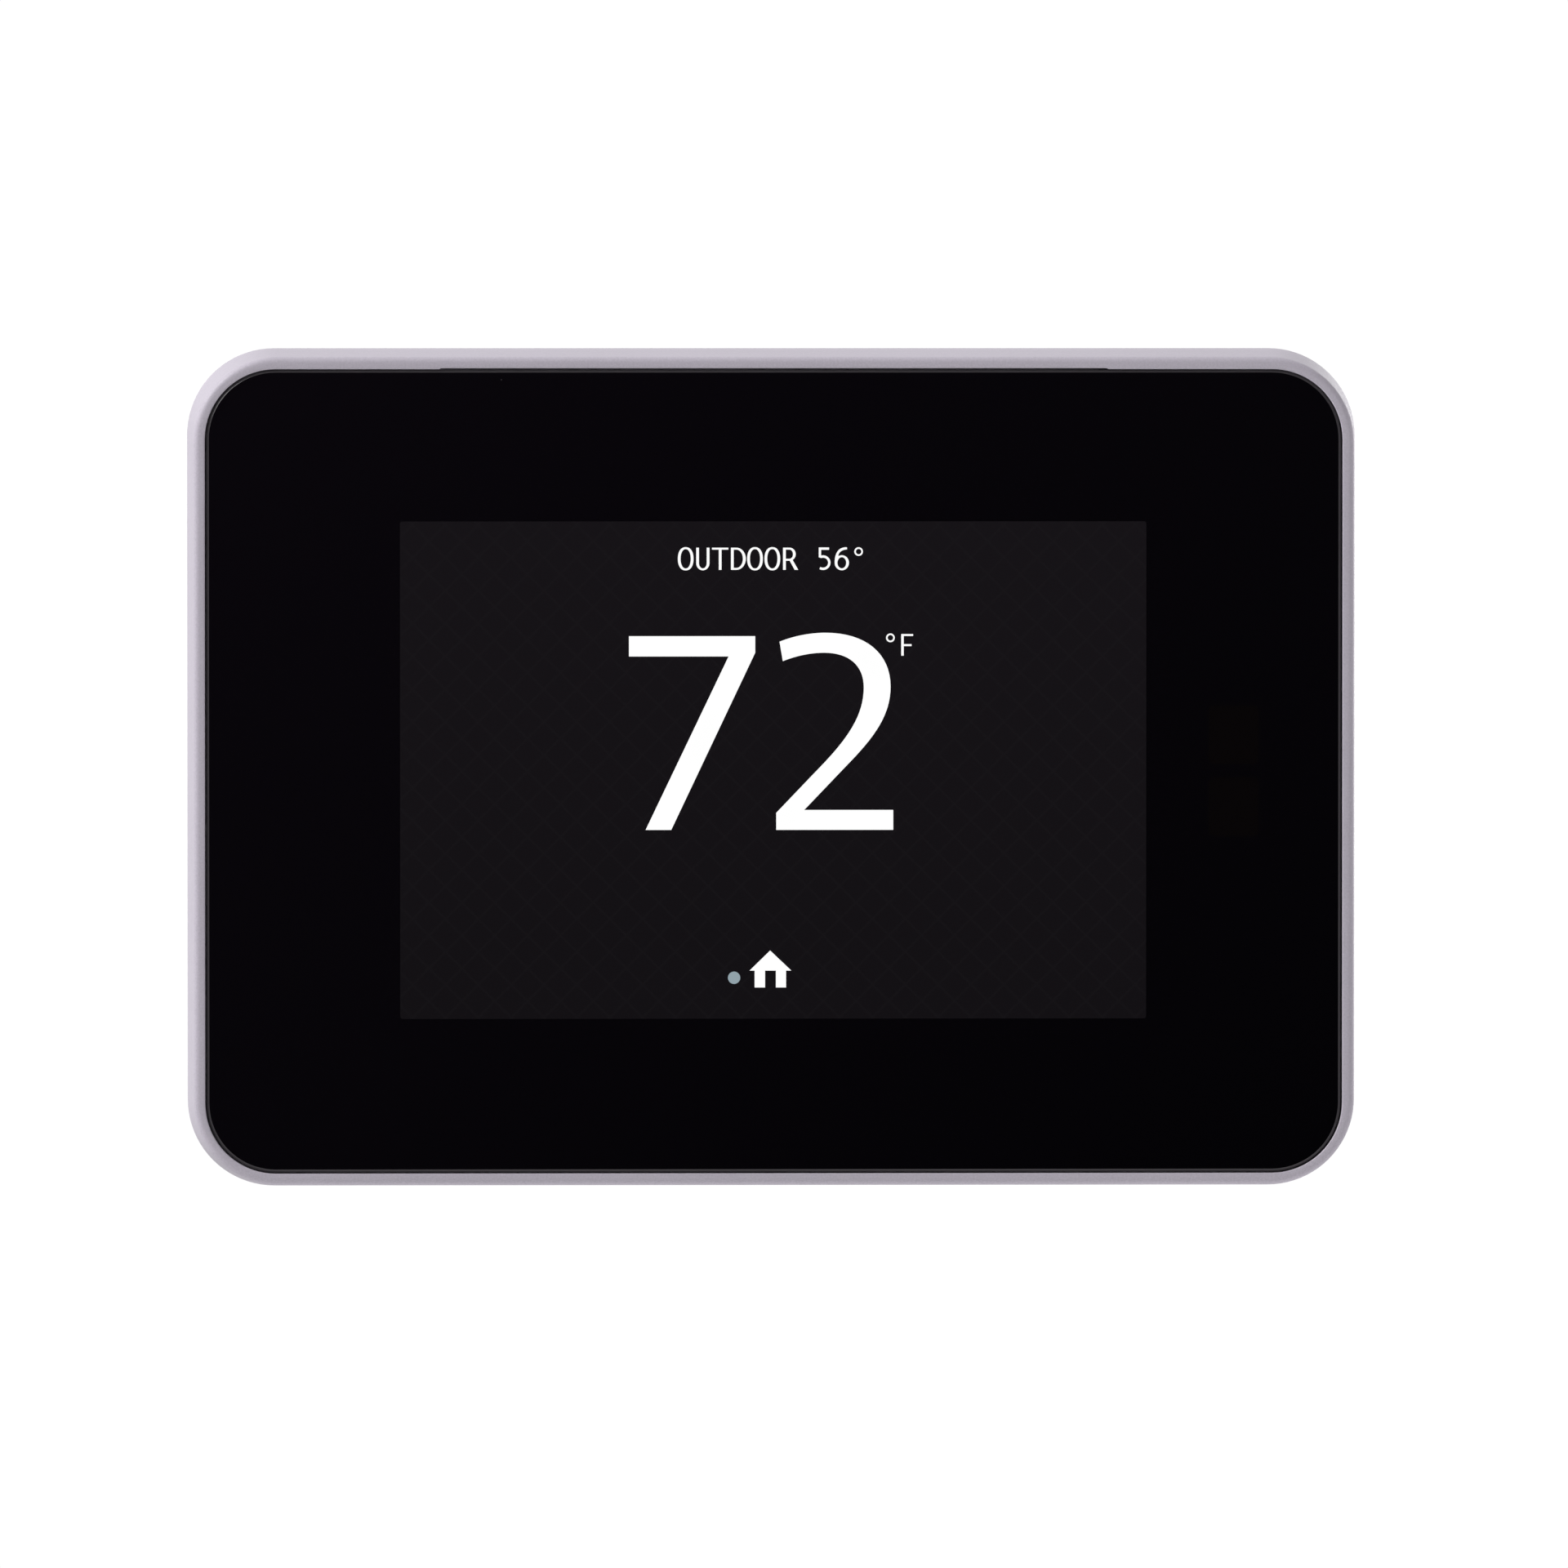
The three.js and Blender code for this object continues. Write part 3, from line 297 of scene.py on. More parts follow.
class Look:
    """A Principled material with the nodes that give it grain, variation and wear."""

    def __init__(self, name, colour, roughness, metallic=0.0, **sockets):
        self.material = bpy.data.materials.new(name)
        self.material.use_nodes = True
        self.tree = self.material.node_tree
        self.shader = self.tree.nodes["Principled BSDF"]
        self.colour = colour
        self.roughness = roughness
        preset(self.shader, Base_Color=(*colour, 1), Roughness=roughness, Metallic=metallic)
        preset(self.shader, **sockets)
        coordinates = self.node("ShaderNodeTexCoord")
        self.place = coordinates.outputs["Object"]
        self.facing = coordinates.outputs["Normal"]

    def node(self, kind, **sockets):
        return preset(self.tree.nodes.new(kind), **sockets)

    def link(self, source, target):
        self.tree.links.new(source, target)

    def drive(self, socket, source):
        """Links a result to one of the shader's sockets."""
        self.link(source, self.shader.inputs[socket])

    def parts(self, vector):
        """The X, Y and Z outputs of a vector."""
        split = self.node("ShaderNodeSeparateXYZ")
        self.link(vector, split.inputs[0])
        return split.outputs

    def calculate(self, operation, first, second=0.0):
        """A Math node's result. Either value may be a socket."""
        step = self.node("ShaderNodeMath")
        step.operation = operation
        for socket, value in zip(step.inputs, (first, second)):
            if isinstance(value, bpy.types.NodeSocket):
                self.link(value, socket)
            else:
                socket.default_value = value
        return step.outputs[0]

    def bands(self, direction, period, vector=None):
        """Even waves from 0 to 1 that repeat along an axis."""
        wave = self.node("ShaderNodeTexWave", Scale=WAVE_PERIOD / period)
        wave.bands_direction = direction
        self.link(vector or self.place, wave.inputs["Vector"])
        return wave.outputs["Fac"]

    def mapped(self, **sockets):
        """The object's own coordinates, turned or scaled."""
        mapping = self.node("ShaderNodeMapping", **sockets)
        self.link(self.place, mapping.inputs["Vector"])
        return mapping.outputs[0]

    def noise(self, size, detail=3.0, stretch=None):
        """Noise whose lumps are about size metres across, stretched along an axis if asked."""
        texture = self.node("ShaderNodeTexNoise", Scale=1.0 / size, Detail=detail)
        vector = self.mapped(Scale=stretch) if stretch else self.place
        self.link(vector, texture.inputs["Vector"])
        return texture.outputs["Fac"]

    def cells(self, size, vector=None):
        """The distance from the nearest of many scattered points, about size metres apart."""
        texture = self.node("ShaderNodeTexVoronoi", Scale=1 / size)
        self.link(vector or self.place, texture.inputs["Vector"])
        return texture.outputs["Distance"]

    def spread(self, source, low, high, start=0.3, end=0.7):
        """source, mapped from start..end to low..high."""
        ranged = self.node(
            "ShaderNodeMapRange", From_Min=start, From_Max=end, To_Min=low, To_Max=high,
        )
        self.link(source, ranged.inputs["Value"])
        return ranged.outputs["Result"]

    def blend(self, factor, first, second):
        """A colour that goes from first to second with factor. Either may be a socket."""
        mix = self.node("ShaderNodeMix")
        mix.data_type = "RGBA"
        for socket, value in ((mix.inputs[6], first), (mix.inputs[7], second)):
            if isinstance(value, bpy.types.NodeSocket):
                self.link(value, socket)
            else:
                socket.default_value = (*value, 1)
        self.link(factor, mix.inputs[0])
        return mix.outputs[2]

    def tint(self, amount):
        return tuple(min(1.0, channel * amount) for channel in self.colour)

    def vary_colour(self, size, amount):
        factor = self.spread(self.noise(size), 0.0, 1.0)
        colour = self.blend(factor, self.tint(1 - amount), self.tint(1 + amount))
        self.drive("Base Color", colour)
        return colour

    def vary_roughness(self, size, amount, stretch=None):
        low = max(0.02, self.roughness - amount)
        value = self.spread(self.noise(size, 4.0, stretch), low, self.roughness + amount)
        self.drive("Roughness", value)

    def bump(self, height, depth, strength):
        bump = self.node("ShaderNodeBump", Strength=strength, Distance=depth)
        self.link(height, bump.inputs["Height"])
        self.drive("Normal", bump.outputs[0])

    def wear_edges(self, colour, light, size=0.00025):
        """Lightens convex edges a little, as handled plastic and plated steel do."""
        bevel = self.node("ShaderNodeBevel", Radius=size)
        bevel.samples = 4
        geometry = self.node("ShaderNodeNewGeometry")
        dot = self.node("ShaderNodeVectorMath")
        dot.operation = "DOT_PRODUCT"
        self.link(bevel.outputs[0], dot.inputs[0])
        self.link(geometry.outputs["Normal"], dot.inputs[1])
        edge = self.spread(dot.outputs["Value"], 1.0, 0.0, 0.8, 0.995)
        self.drive("Base Color", self.blend(edge, colour, light))


def moulded_plastic(name, colour, roughness, grain=0.00018):
    """Spark-eroded moulding texture: fine grain, slow colour drift, lighter worn edges."""
    look = Look(name, colour, roughness)
    drift = look.vary_colour(0.02, 0.012)
    look.wear_edges(drift, look.tint(1.12))
    look.vary_roughness(0.004, 0.06)
    look.bump(look.noise(grain, 2.0), 0.00003, 0.35)
    return look.material


def plated_metal(name, colour, roughness, brushed=None):
    """Plated or tinned metal, with faint draw marks along one axis."""
    look = Look(name, colour, roughness, 1.0)
    drift = look.vary_colour(0.003, 0.08)
    look.wear_edges(drift, look.tint(1.15), 0.0002)
    look.vary_roughness(0.0006, 0.1, brushed)
    look.bump(look.noise(0.0002, 3.0, brushed), 0.00001, 0.3)
    return look.material


def circuit_board(name, mask, trace, pitch=0.0009):
    """Solder mask over copper: bundles of tracks that run two ways, tinned vias, bare edges."""
    look = Look(name, mask, 0.32, Coat_Weight=0.25, Coat_Roughness=0.15)
    field = look.noise(0.011, 0.0)
    tracks = None
    for direction, start, end in (("X", 0.55, 0.56), ("Z", 0.46, 0.45)):
        lines = look.spread(look.bands(direction, pitch), 0.0, 1.0, 0.5, 0.6)
        bundle = look.calculate("MULTIPLY", lines, look.spread(field, 0.0, 1.0, start, end))
        tracks = bundle if tracks is None else look.calculate("MAXIMUM", tracks, bundle)
    colour = look.blend(tracks, mask, trace)
    vias = look.cells(0.0036, look.mapped(Scale=(1, 0, 1)))
    tinned, bored, laminate = (0.52, 0.50, 0.44), (0.02, 0.02, 0.02), (0.36, 0.34, 0.17)
    colour = look.blend(look.spread(vias, 1.0, 0.0, 0.075, 0.09), colour, tinned)
    colour = look.blend(look.spread(vias, 1.0, 0.0, 0.03, 0.04), colour, bored)
    flat = look.calculate("ABSOLUTE", look.parts(look.facing)["Y"])
    colour = look.blend(look.spread(flat, 0.0, 1.0, 0.4, 0.6), laminate, colour)
    look.drive("Base Color", colour)
    look.bump(tracks, 0.00003, 0.6)
    look.vary_roughness(0.002, 0.05)
    return look.material


def chip_epoxy():
    look = Look("chip_epoxy", (0.035, 0.035, 0.038), 0.55)
    drift = look.vary_colour(0.0012, 0.12)
    look.wear_edges(drift, (0.09, 0.09, 0.095), 0.00015)
    look.vary_roughness(0.0008, 0.08)
    look.bump(look.noise(0.00009, 2.0), 0.00001, 0.5)
    return look.material


def foam():
    look = Look("black_foam", (0.02, 0.02, 0.02), 0.95)
    look.vary_colour(0.0004, 0.4)
    look.bump(look.cells(0.00025), 0.0001, 0.8)
    return look.material


def polyimide_film():
    """Amber film over copper strips, which show through as browner bands."""
    look = Look("amber_film", (0.42, 0.19, 0.03), 0.25, Coat_Weight=0.5)
    strips = look.bands("Z", 0.0005)
    look.drive("Base Color", look.blend(strips, look.tint(0.7), look.tint(1.15)))
    look.bump(strips, 0.00002, 0.4)
    look.vary_roughness(0.003, 0.06)
    return look.material


def bezel_silver():
    """Silver-lavender moulded plastic: metallic flake so fine that it reads as grain."""
    look = Look("silver_plastic", (0.640, 0.591, 0.678), 0.46, 0.0, Specular_IOR_Level=0.35)
    flake = look.spread(look.noise(0.00022, 2.0), 0.0, 1.0, 0.25, 0.75)
    grained = look.blend(flake, look.tint(0.93), look.tint(1.07))
    drift = look.spread(look.noise(0.02, 2.0), 0.0, 1.0)
    shaded = look.node("ShaderNodeMix")
    shaded.data_type = "RGBA"
    shaded.blend_type = "MULTIPLY"
    shaded.inputs[0].default_value = 1.0
    look.link(grained, shaded.inputs[6])
    look.link(look.blend(drift, (0.975, 0.975, 0.975), (1, 1, 1)), shaded.inputs[7])
    look.drive("Base Color", shaded.outputs[2])
    look.vary_roughness(0.0007, 0.05)
    look.bump(look.noise(0.00016, 3.0), 0.00004, 0.45)
    return look.material


# The glass has two sensor windows right of the display, one above its middle and one below.

WINDOW_CENTRE = (51.5 * MM, 4.05 * MM)
WINDOW_HALF = (2.85 * MM, 3.3 * MM)
WINDOW_CORNER = 0.7 * MM
WINDOW_BLUR = 0.12 * MM


def window_mask(look, place):
    """1 inside the sensor windows, whose ink passes infrared and is a shade browner."""
    height = look.calculate("ABSOLUTE", place["Z"])
    squares = []
    for value, centre, half in zip((place["X"], height), WINDOW_CENTRE, WINDOW_HALF):
        away = look.calculate("ABSOLUTE", look.calculate("SUBTRACT", value, centre))
        past = look.calculate("SUBTRACT", away, half - WINDOW_CORNER)
        past = look.calculate("MAXIMUM", past, 0.0)
        squares.append(look.calculate("MULTIPLY", past, past))
    reach = look.calculate("SQRT", look.calculate("ADD", *squares))
    return look.spread(
        reach, 1.0, 0.0, WINDOW_CORNER - WINDOW_BLUR, WINDOW_CORNER + WINDOW_BLUR,
    )


def painted_glass():
    """Glass over black ink: deep black and polished, its ground edge paler, with a few specks, and
    painted light that makes it lighter towards the top left.
    """
    look = Look("black_glass", (0.0024, 0.0018, 0.0028), 0.035)
    place = look.parts(look.place)
    # Painted light: the ink is painted lighter towards the top left and darker towards the bottom
    # right, standing in for how the lamps fall across the glass.
    across = look.spread(place["X"], 0.55, -0.55, -0.065, 0.065)
    up = look.spread(place["Z"], -0.45, 0.45, -0.045, 0.045)
    painted_light_falloff = look.spread(look.calculate("ADD", across, up), 0.0, 1.0, -0.9, 0.9)
    ink = look.blend(painted_light_falloff, (0.0008, 0.0004, 0.0015), (0.0036, 0.0023, 0.0045))
    dust = look.spread(look.cells(0.0095), 0.5, 0.0, 0.004, 0.011)
    face = look.blend(dust, ink, (0.10, 0.09, 0.10))
    face = look.blend(window_mask(look, place), face, (0.0028, 0.0017, 0.0021))
    edge = look.spread(look.parts(look.facing)["Y"], 0.0, 1.0, -0.98, -0.85)
    look.drive("Base Color", look.blend(edge, face, (0.052, 0.047, 0.052)))
    smeared = look.spread(look.noise(0.018, 4.0), 0.02, 0.05)
    rough = look.node("ShaderNodeMix")
    look.link(edge, rough.inputs[0])
    look.link(smeared, rough.inputs[2])
    rough.inputs[3].default_value = 0.35
    look.drive("Roughness", rough.outputs[0])
    return look.material


def lit_area(centre_z, half_z):
    """The display's backlight through black crystal, under the touch sensor's diamond mesh."""
    look = Look("display_glass", (0.0016, 0.0013, 0.0018), 0.05, Emission_Strength=1.0)
    fade = look.spread(look.parts(look.place)["Z"], 0.0, 1.0, centre_z - half_z, centre_z + half_z)
    glow = look.blend(fade, (0.0050, 0.0042, 0.0052), (0.0066, 0.0054, 0.0068))
    turned = look.mapped(Rotation=(0, math.radians(45), 0))
    one_way = look.spread(look.bands("X", 0.0026, turned), 0.0, 1.0, 0.965, 1.0)
    other_way = look.spread(look.bands("Z", 0.0026, turned), 0.0, 1.0, 0.965, 1.0)
    faint = look.spread(look.calculate("MAXIMUM", one_way, other_way), 0.0, 0.16, 0.0, 1.0)
    look.drive("Emission Color", look.blend(faint, glow, (0.013, 0.012, 0.0135)))
    look.vary_roughness(0.018, 0.012)
    return look.material


def lit_figure(name, colour):
    """Lit pixels: a flat glow, very slightly uneven, as a display's backlight is."""
    look = Look(name, (0.02, 0.02, 0.02), 0.1, Emission_Strength=1.0)
    uneven = look.spread(look.noise(0.01, 1.0), 0.0, 1.0)
    glow = look.blend(uneven, colour, tuple(min(1.0, c * 1.03) for c in colour))
    look.drive("Emission Color", glow)
    return look.material


LOOKS = {
    "silver_plastic": bezel_silver(),
    "white_plastic": moulded_plastic("white_plastic", (0.80, 0.795, 0.77), 0.48),
    "black_plastic": moulded_plastic("black_plastic", (0.022, 0.022, 0.024), 0.42),
    "grey_plastic": moulded_plastic("grey_plastic", (0.17, 0.18, 0.19), 0.45),
    "orange_plastic": moulded_plastic("orange_plastic", (0.70, 0.21, 0.035), 0.4),
    "black_glass": painted_glass(),
    "clear_film": moulded_plastic("clear_film", (0.09, 0.09, 0.10), 0.2, 0.001),
    "light_guide": moulded_plastic("light_guide", (0.82, 0.84, 0.86), 0.3, 0.0004),
    "black_foam": foam(),
    "circuit_board": circuit_board("circuit_board", (0.012, 0.115, 0.045), (0.03, 0.20, 0.08)),
    "dark_board": circuit_board("dark_board", (0.008, 0.03, 0.02), (0.02, 0.06, 0.04), 0.0006),
    "amber_film": polyimide_film(),
    "steel": plated_metal("steel", (0.60, 0.61, 0.62), 0.32),
    "tinned_sheet": plated_metal("tinned_sheet", (0.70, 0.70, 0.69), 0.3, (1, 1, 12)),
    "spring_bronze": plated_metal("spring_bronze", (0.66, 0.42, 0.20), 0.3, (1, 12, 1)),
    "chip_epoxy": chip_epoxy(),
}


# ---- CAD nodes: finishes and broken edges ------------

BEVELS = {
    "wiring_board": 0.06 * MM, "main_board": 0.06 * MM, "processor": 0.08 * MM,
    "flash_memory": 0.08 * MM, "lcd_tray": 0.08 * MM, "socket_connector": 0.10 * MM,
    "lcd_flex_connector": 0.10 * MM, "touch_flex_connector": 0.10 * MM,
    "coin_cell_holder": 0.12 * MM,
}
TAB_BEVEL = 0.15 * MM
WELD_DISTANCE = 1e-6


def dress_cad_nodes():
    """Each carried-over node gets its slot's look, and the crisp ones get broken edges."""
    slots = {entry["node"]: entry["material_slot"] for entry in frame["record"]["subparts"]}
    panel = lit_area(0, 30 * MM)
    for name, obj in nodes.items():
        slot = slots[name]
        look = panel if slot == "display_glass" else LOOKS[slot]
        obj.data.materials.clear()
        obj.data.materials.append(look)
        for polygon in obj.data.polygons:
            polygon.material_index = 0
        width = TAB_BEVEL if name.startswith("terminal_tab") else BEVELS.get(name)
        if width:
            weld = obj.modifiers.new("weld", "WELD")
            weld.merge_threshold = WELD_DISTANCE
            break_edges(obj, width)


dress_cad_nodes()


# ---- Mouldings ---------------------------------------

# The plate, the shell and the terminal blocks keep their CAD form, with the shallow marks that
# moulding leaves: coring between ribs on the plate's wall side, the round marks of ejector pins
# on floors that face away from the wall, and grooves between a block's terminals. The cutters
# reach a little past the solid, to leave no skin.

CORE_DEPTH = 0.6 * MM
CORE_CORNER = 1.2 * MM
CORE_DRAFT = 0.1 * MM
EJECTOR_RADIUS = 2 * MM
PLATE_EJECTORS = ((-44, 26), (44, 26), (-44, -30), (44, -30), (0, -33), (-22, -33), (22, -33))
SHELL_EJECTORS = ((-45, 22), (45, 22), (-45, -14), (45, -14), (-22, -24), (22, -24))
BLOCK_X = 24.5
BLOCK_Z = 17
TERMINAL_PITCH = 5.08
GROOVE_HALF = 0.17


def core_pockets():
    """The hollows between the ribs: their side, near, far, bottom and top, in millimetres."""
    pockets = []
    for side in (-1, 1):
        for bottom, top in ((-37.5, -24.5), (-23.1, -10.0), (6.5, 21.3), (22.7, 37.5)):
            pockets.append((side, 38.7, 56.0, bottom, top))
        for bottom, top in ((-37.5, -19.5), (-18.1, -0.7), (0.7, 18.1), (19.5, 37.5)):
            pockets.append((side, 18.0, 37.3, bottom, top))
        for bottom, top in ((-37.5, -19.5), (-18.1, 2.0), (32.0, 37.5)):
            pockets.append((side, 0.7, 16.6, bottom, top))
    return pockets


def cut_block(bm, outline_back, outline_front, back, front):
    skin(bm, [loop_at(bm, outline_back, back), loop_at(bm, outline_front, front)])


def ejector_mark(bm, x, z, back, front):
    """A round mark at a place and between two depths, in millimetres."""
    # The corners are just short of the whole radius, so that no two points meet.
    circle = rounded_loop(EJECTOR_RADIUS, EJECTOR_RADIUS, 0.9995 * EJECTOR_RADIUS, 8)
    circle = moved(circle, x * MM, z * MM)
    cut_block(bm, circle, circle, back * MM, front * MM)


def plate_cutters(bm):
    for side, near, far, bottom, top in core_pockets():
        middle = (side * (near + far) / 2 * MM, (bottom + top) / 2 * MM)
        half_x, half_z = (far - near) / 2 * MM, (top - bottom) / 2 * MM
        wide = rounded_loop(half_x, half_z, CORE_CORNER, 5)
        narrow = rounded_loop(
            half_x - CORE_DRAFT, half_z - CORE_DRAFT, CORE_CORNER - CORE_DRAFT, 5,
        )
        cut_block(bm, moved(wide, *middle), moved(narrow, *middle), -0.1 * MM, CORE_DEPTH)
    for x, z in PLATE_EJECTORS:
        ejector_mark(bm, x, z, 1.88, 2.6)


def shell_cutters(bm):
    for x, z in SHELL_EJECTORS:
        ejector_mark(bm, x, z, 7.0, 7.52)


def block_cutters(side):
    """Three grooves between a block's four terminals, over its front and down both its sides."""
    def build(bm):
        for number in (-1, 0, 1):
            z = BLOCK_Z + number * TERMINAL_PITCH
            for left, right, back, front in ((-7, 7, 11.6, 12.4), (-7, -6.2, 5.9, 12.3),
                                             (6.2, 7, 5.9, 12.3)):
                bar = [(left, -GROOVE_HALF), (right, -GROOVE_HALF),
                       (right, GROOVE_HALF), (left, GROOVE_HALF)]
                bar = [((px + side * BLOCK_X) * MM, (pz + z) * MM) for px, pz in bar]
                cut_block(bm, bar, bar, back * MM, front * MM)
    return build


def make_moulding(name, node, body, slot, build_cutters, edge):
    """The CAD node's own form with marks cut into it and its edges broken."""
    blank = nodes[node].data.copy()
    bm = bmesh.new()
    bm.from_mesh(blank)
    bmesh.ops.remove_doubles(bm, verts=bm.verts[:], dist=WELD_DISTANCE)
    bmesh.ops.dissolve_limit(
        bm, angle_limit=FLAT_ANGLE, verts=bm.verts[:], edges=bm.edges[:],
    )
    bm.to_mesh(blank)
    bm.free()
    shape = carved(blank, mesh_from(build_cutters), overlapping=True, edge=edge)
    piece = new_piece(name, shape, body, LOOKS[slot])
    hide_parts(node)


make_moulding("moulded_plate", "wall_plate", WALL, "white_plastic", plate_cutters, 0.22 * MM)
make_moulding("moulded_shell", "rear_shell", BODY, "white_plastic", shell_cutters, 0.22 * MM)
for side_name, side in (("left", -1), ("right", 1)):
    make_moulding(
        f"grooved_block_{side_name}", f"terminal_block_{side_name}", WALL, "grey_plastic",
        block_cutters(side), 0.12 * MM,
    )


# ---- Bezel -------------------------------------------

BEZEL_LOW, BEZEL_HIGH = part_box("front_bezel")
GLASS_LOW, GLASS_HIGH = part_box("front_glass")
BEZEL_BACK = -BEZEL_HIGH.y
BEZEL_FRONT = -BEZEL_LOW.y
LEAN = 0.92 / 17.0
BACK_EDGE = 0.8 * MM
OUTER_EDGE = 0.72 * MM
INNER_EDGE = 0.16 * MM
OUTER_CORNER = 9.77 * MM
FRONT_CORNER = 9.53 * MM
SEAT_GAP = 0.15 * MM
SEAT_CORNER = 7.9 * MM
SEAT_DROP = 0.04 * MM
LEDGE_BACK = 20.2 * MM
LEDGE_FRONT = 21.7 * MM
RELIEF_HALF = 37.4 * MM
RELIEF_RISE = 0.11 * MM
CORNER_STEPS = 20


def bezel_loop(half_x, half_z, radius, rise=0.0):
    """A rounded rectangle with four more points on its top side, where the lip is relieved."""
    points = rounded_loop(half_x, half_z, radius, CORNER_STEPS)
    step = 0.15 * MM
    relief = [
        (RELIEF_HALF, half_z), (RELIEF_HALF - step, half_z + rise),
        (step - RELIEF_HALF, half_z + rise), (-RELIEF_HALF, half_z),
    ]
    split = 2 * (CORNER_STEPS + 1)
    return points[:split] + relief + points[split:]


def bezel_sections():
    """The bezel's section as loops with their depths, from the back edge round over the lip."""
    half_x, half_z = BEZEL_HIGH.x, BEZEL_HIGH.z
    wall_start = BEZEL_BACK + BACK_EDGE
    lean_angle = math.degrees(math.atan(LEAN))
    reach = OUTER_EDGE / math.cos(math.radians(lean_angle))
    edge_depth = BEZEL_FRONT - OUTER_EDGE
    edge_inset = LEAN * (edge_depth - wall_start) + reach

    def outside(inset, depth, extra=0.0):
        share = min(1.0, max(0.0, (depth - wall_start) / (edge_depth - wall_start)))
        corner = OUTER_CORNER + (FRONT_CORNER - OUTER_CORNER) * share - extra
        return bezel_loop(half_x - inset, half_z - inset, corner), depth

    def seat(outset, depth):
        seat_x = GLASS_HIGH.x + SEAT_GAP
        seat_z = GLASS_HIGH.z + SEAT_GAP - SEAT_DROP
        loop = bezel_loop(seat_x + outset, seat_z + outset, SEAT_CORNER + outset, RELIEF_RISE)
        return moved(loop, 0, -SEAT_DROP), depth

    def plain(x, z, radius, depth):
        return bezel_loop(x * MM, z * MM, radius * MM), depth

    sections = []
    for offset, depth in turn((BACK_EDGE, wall_start), BACK_EDGE, BACK_EDGE, 270, 180, 4):
        sections.append(outside(offset, depth, offset))
    for share in (0.25, 0.5, 0.75):
        depth = wall_start + (edge_depth - wall_start) * share
        sections.append(outside(LEAN * (depth - wall_start), depth))
    edge = (edge_inset, edge_depth)
    for offset, depth in turn(edge, OUTER_EDGE, OUTER_EDGE, 180 - lean_angle, 90, 7):
        sections.append(outside(offset, depth, offset - edge_inset + OUTER_EDGE))
    edge = (INNER_EDGE, BEZEL_FRONT - INNER_EDGE)
    for offset, depth in turn(edge, INNER_EDGE, INNER_EDGE, 90, 180, 5):
        sections.append(seat(offset, depth))
    sections.append(seat(0, LEDGE_FRONT))
    sections.append(plain(58, 40, 10, LEDGE_FRONT))
    sections.append(plain(58, 40, 10, LEDGE_BACK))
    sections.append(plain(63, 44.5, 7, LEDGE_BACK))
    sections.append(plain(63, 44.5, 7, BEZEL_BACK + 0.2 * MM))
    sections.append(plain(63.2, 44.7, 7.2, BEZEL_BACK))
    return sections


def make_bezel():
    sections = bezel_sections()

    def build(bm):
        loops = [loop_at(bm, points, depth) for points, depth in sections]
        for first, second in zip(loops, loops[1:] + loops[:1]):
            bridge(bm, first, second)

    piece = new_piece("bezel", mesh_from(build), BODY, LOOKS["silver_plastic"])
    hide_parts("front_bezel")
    shade(piece, 40)


make_bezel()


# ---- Glass -------------------------------------------

GLASS_BACK = -GLASS_HIGH.y
GLASS_FRONT = -GLASS_LOW.y
GLASS_CHAMFER = 0.3 * MM
GLASS_ARRIS = 0.12 * MM


def make_glass():
    """The glass sheet, its front edge ground to a soft chamfer and its back edge just broken."""
    corner = SEAT_CORNER - SEAT_GAP

    def build(bm):
        loops = []
        for inset, depth in (
            (GLASS_ARRIS, GLASS_BACK), (0, GLASS_BACK + GLASS_ARRIS),
            (0, GLASS_FRONT - GLASS_CHAMFER), (0.02 * MM, GLASS_FRONT - 0.75 * GLASS_CHAMFER),
            (GLASS_CHAMFER - 0.05 * MM, GLASS_FRONT - 0.03 * MM), (GLASS_CHAMFER, GLASS_FRONT),
        ):
            outline = rounded_loop(
                GLASS_HIGH.x - inset, GLASS_HIGH.z - inset, corner - inset, CORNER_STEPS,
            )
            loops.append(loop_at(bm, outline, depth))
        skin(bm, loops)

    piece = new_piece("glass_sheet", mesh_from(build), BODY, LOOKS["black_glass"])
    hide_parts("front_glass")
    shade(piece, 30)


make_glass()


# ---- Display -----------------------------------------

PANEL_LOW, PANEL_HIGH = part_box("lcd_panel")
LIT_HALF_X = 41.76 * MM
LIT_HALF_Z = 27.84 * MM
LIT_CORNER = 0.25 * MM
LIT_LAYER = GLASS_FRONT + 0.03 * MM
LIT_SHEET = 0.02 * MM
FIGURE_LAYER = GLASS_FRONT + 0.06 * MM
FIGURE_SHEET = 0.01 * MM
CENTRE_X = (PANEL_LOW.x + PANEL_HIGH.x) / 2 - 0.08 * MM
CENTRE_Z = (PANEL_LOW.z + PANEL_HIGH.z) / 2 + 0.11 * MM


def make_lit_area():
    """A thin closed plate, just proud of the glass."""
    outline = rounded_loop(LIT_HALF_X, LIT_HALF_Z, LIT_CORNER, 3)
    outline = moved(outline, CENTRE_X, CENTRE_Z)

    def build(bm):
        skin(bm, [loop_at(bm, outline, LIT_LAYER - LIT_SHEET), loop_at(bm, outline, LIT_LAYER)])

    look = lit_area(CENTRE_Z, LIT_HALF_Z)
    new_piece("display_window", mesh_from(build), BODY, look)


make_lit_area()


# Figures are drawn in millimetres from the display's centre, X right and Z up. Each is one
# filled outline, followed by the outlines of its holes.

WHITE_LIGHT = lit_figure("lit_white", (0.985, 0.985, 0.985))
GREY_LIGHT = lit_figure("lit_grey_blue", (0.271, 0.347, 0.386))


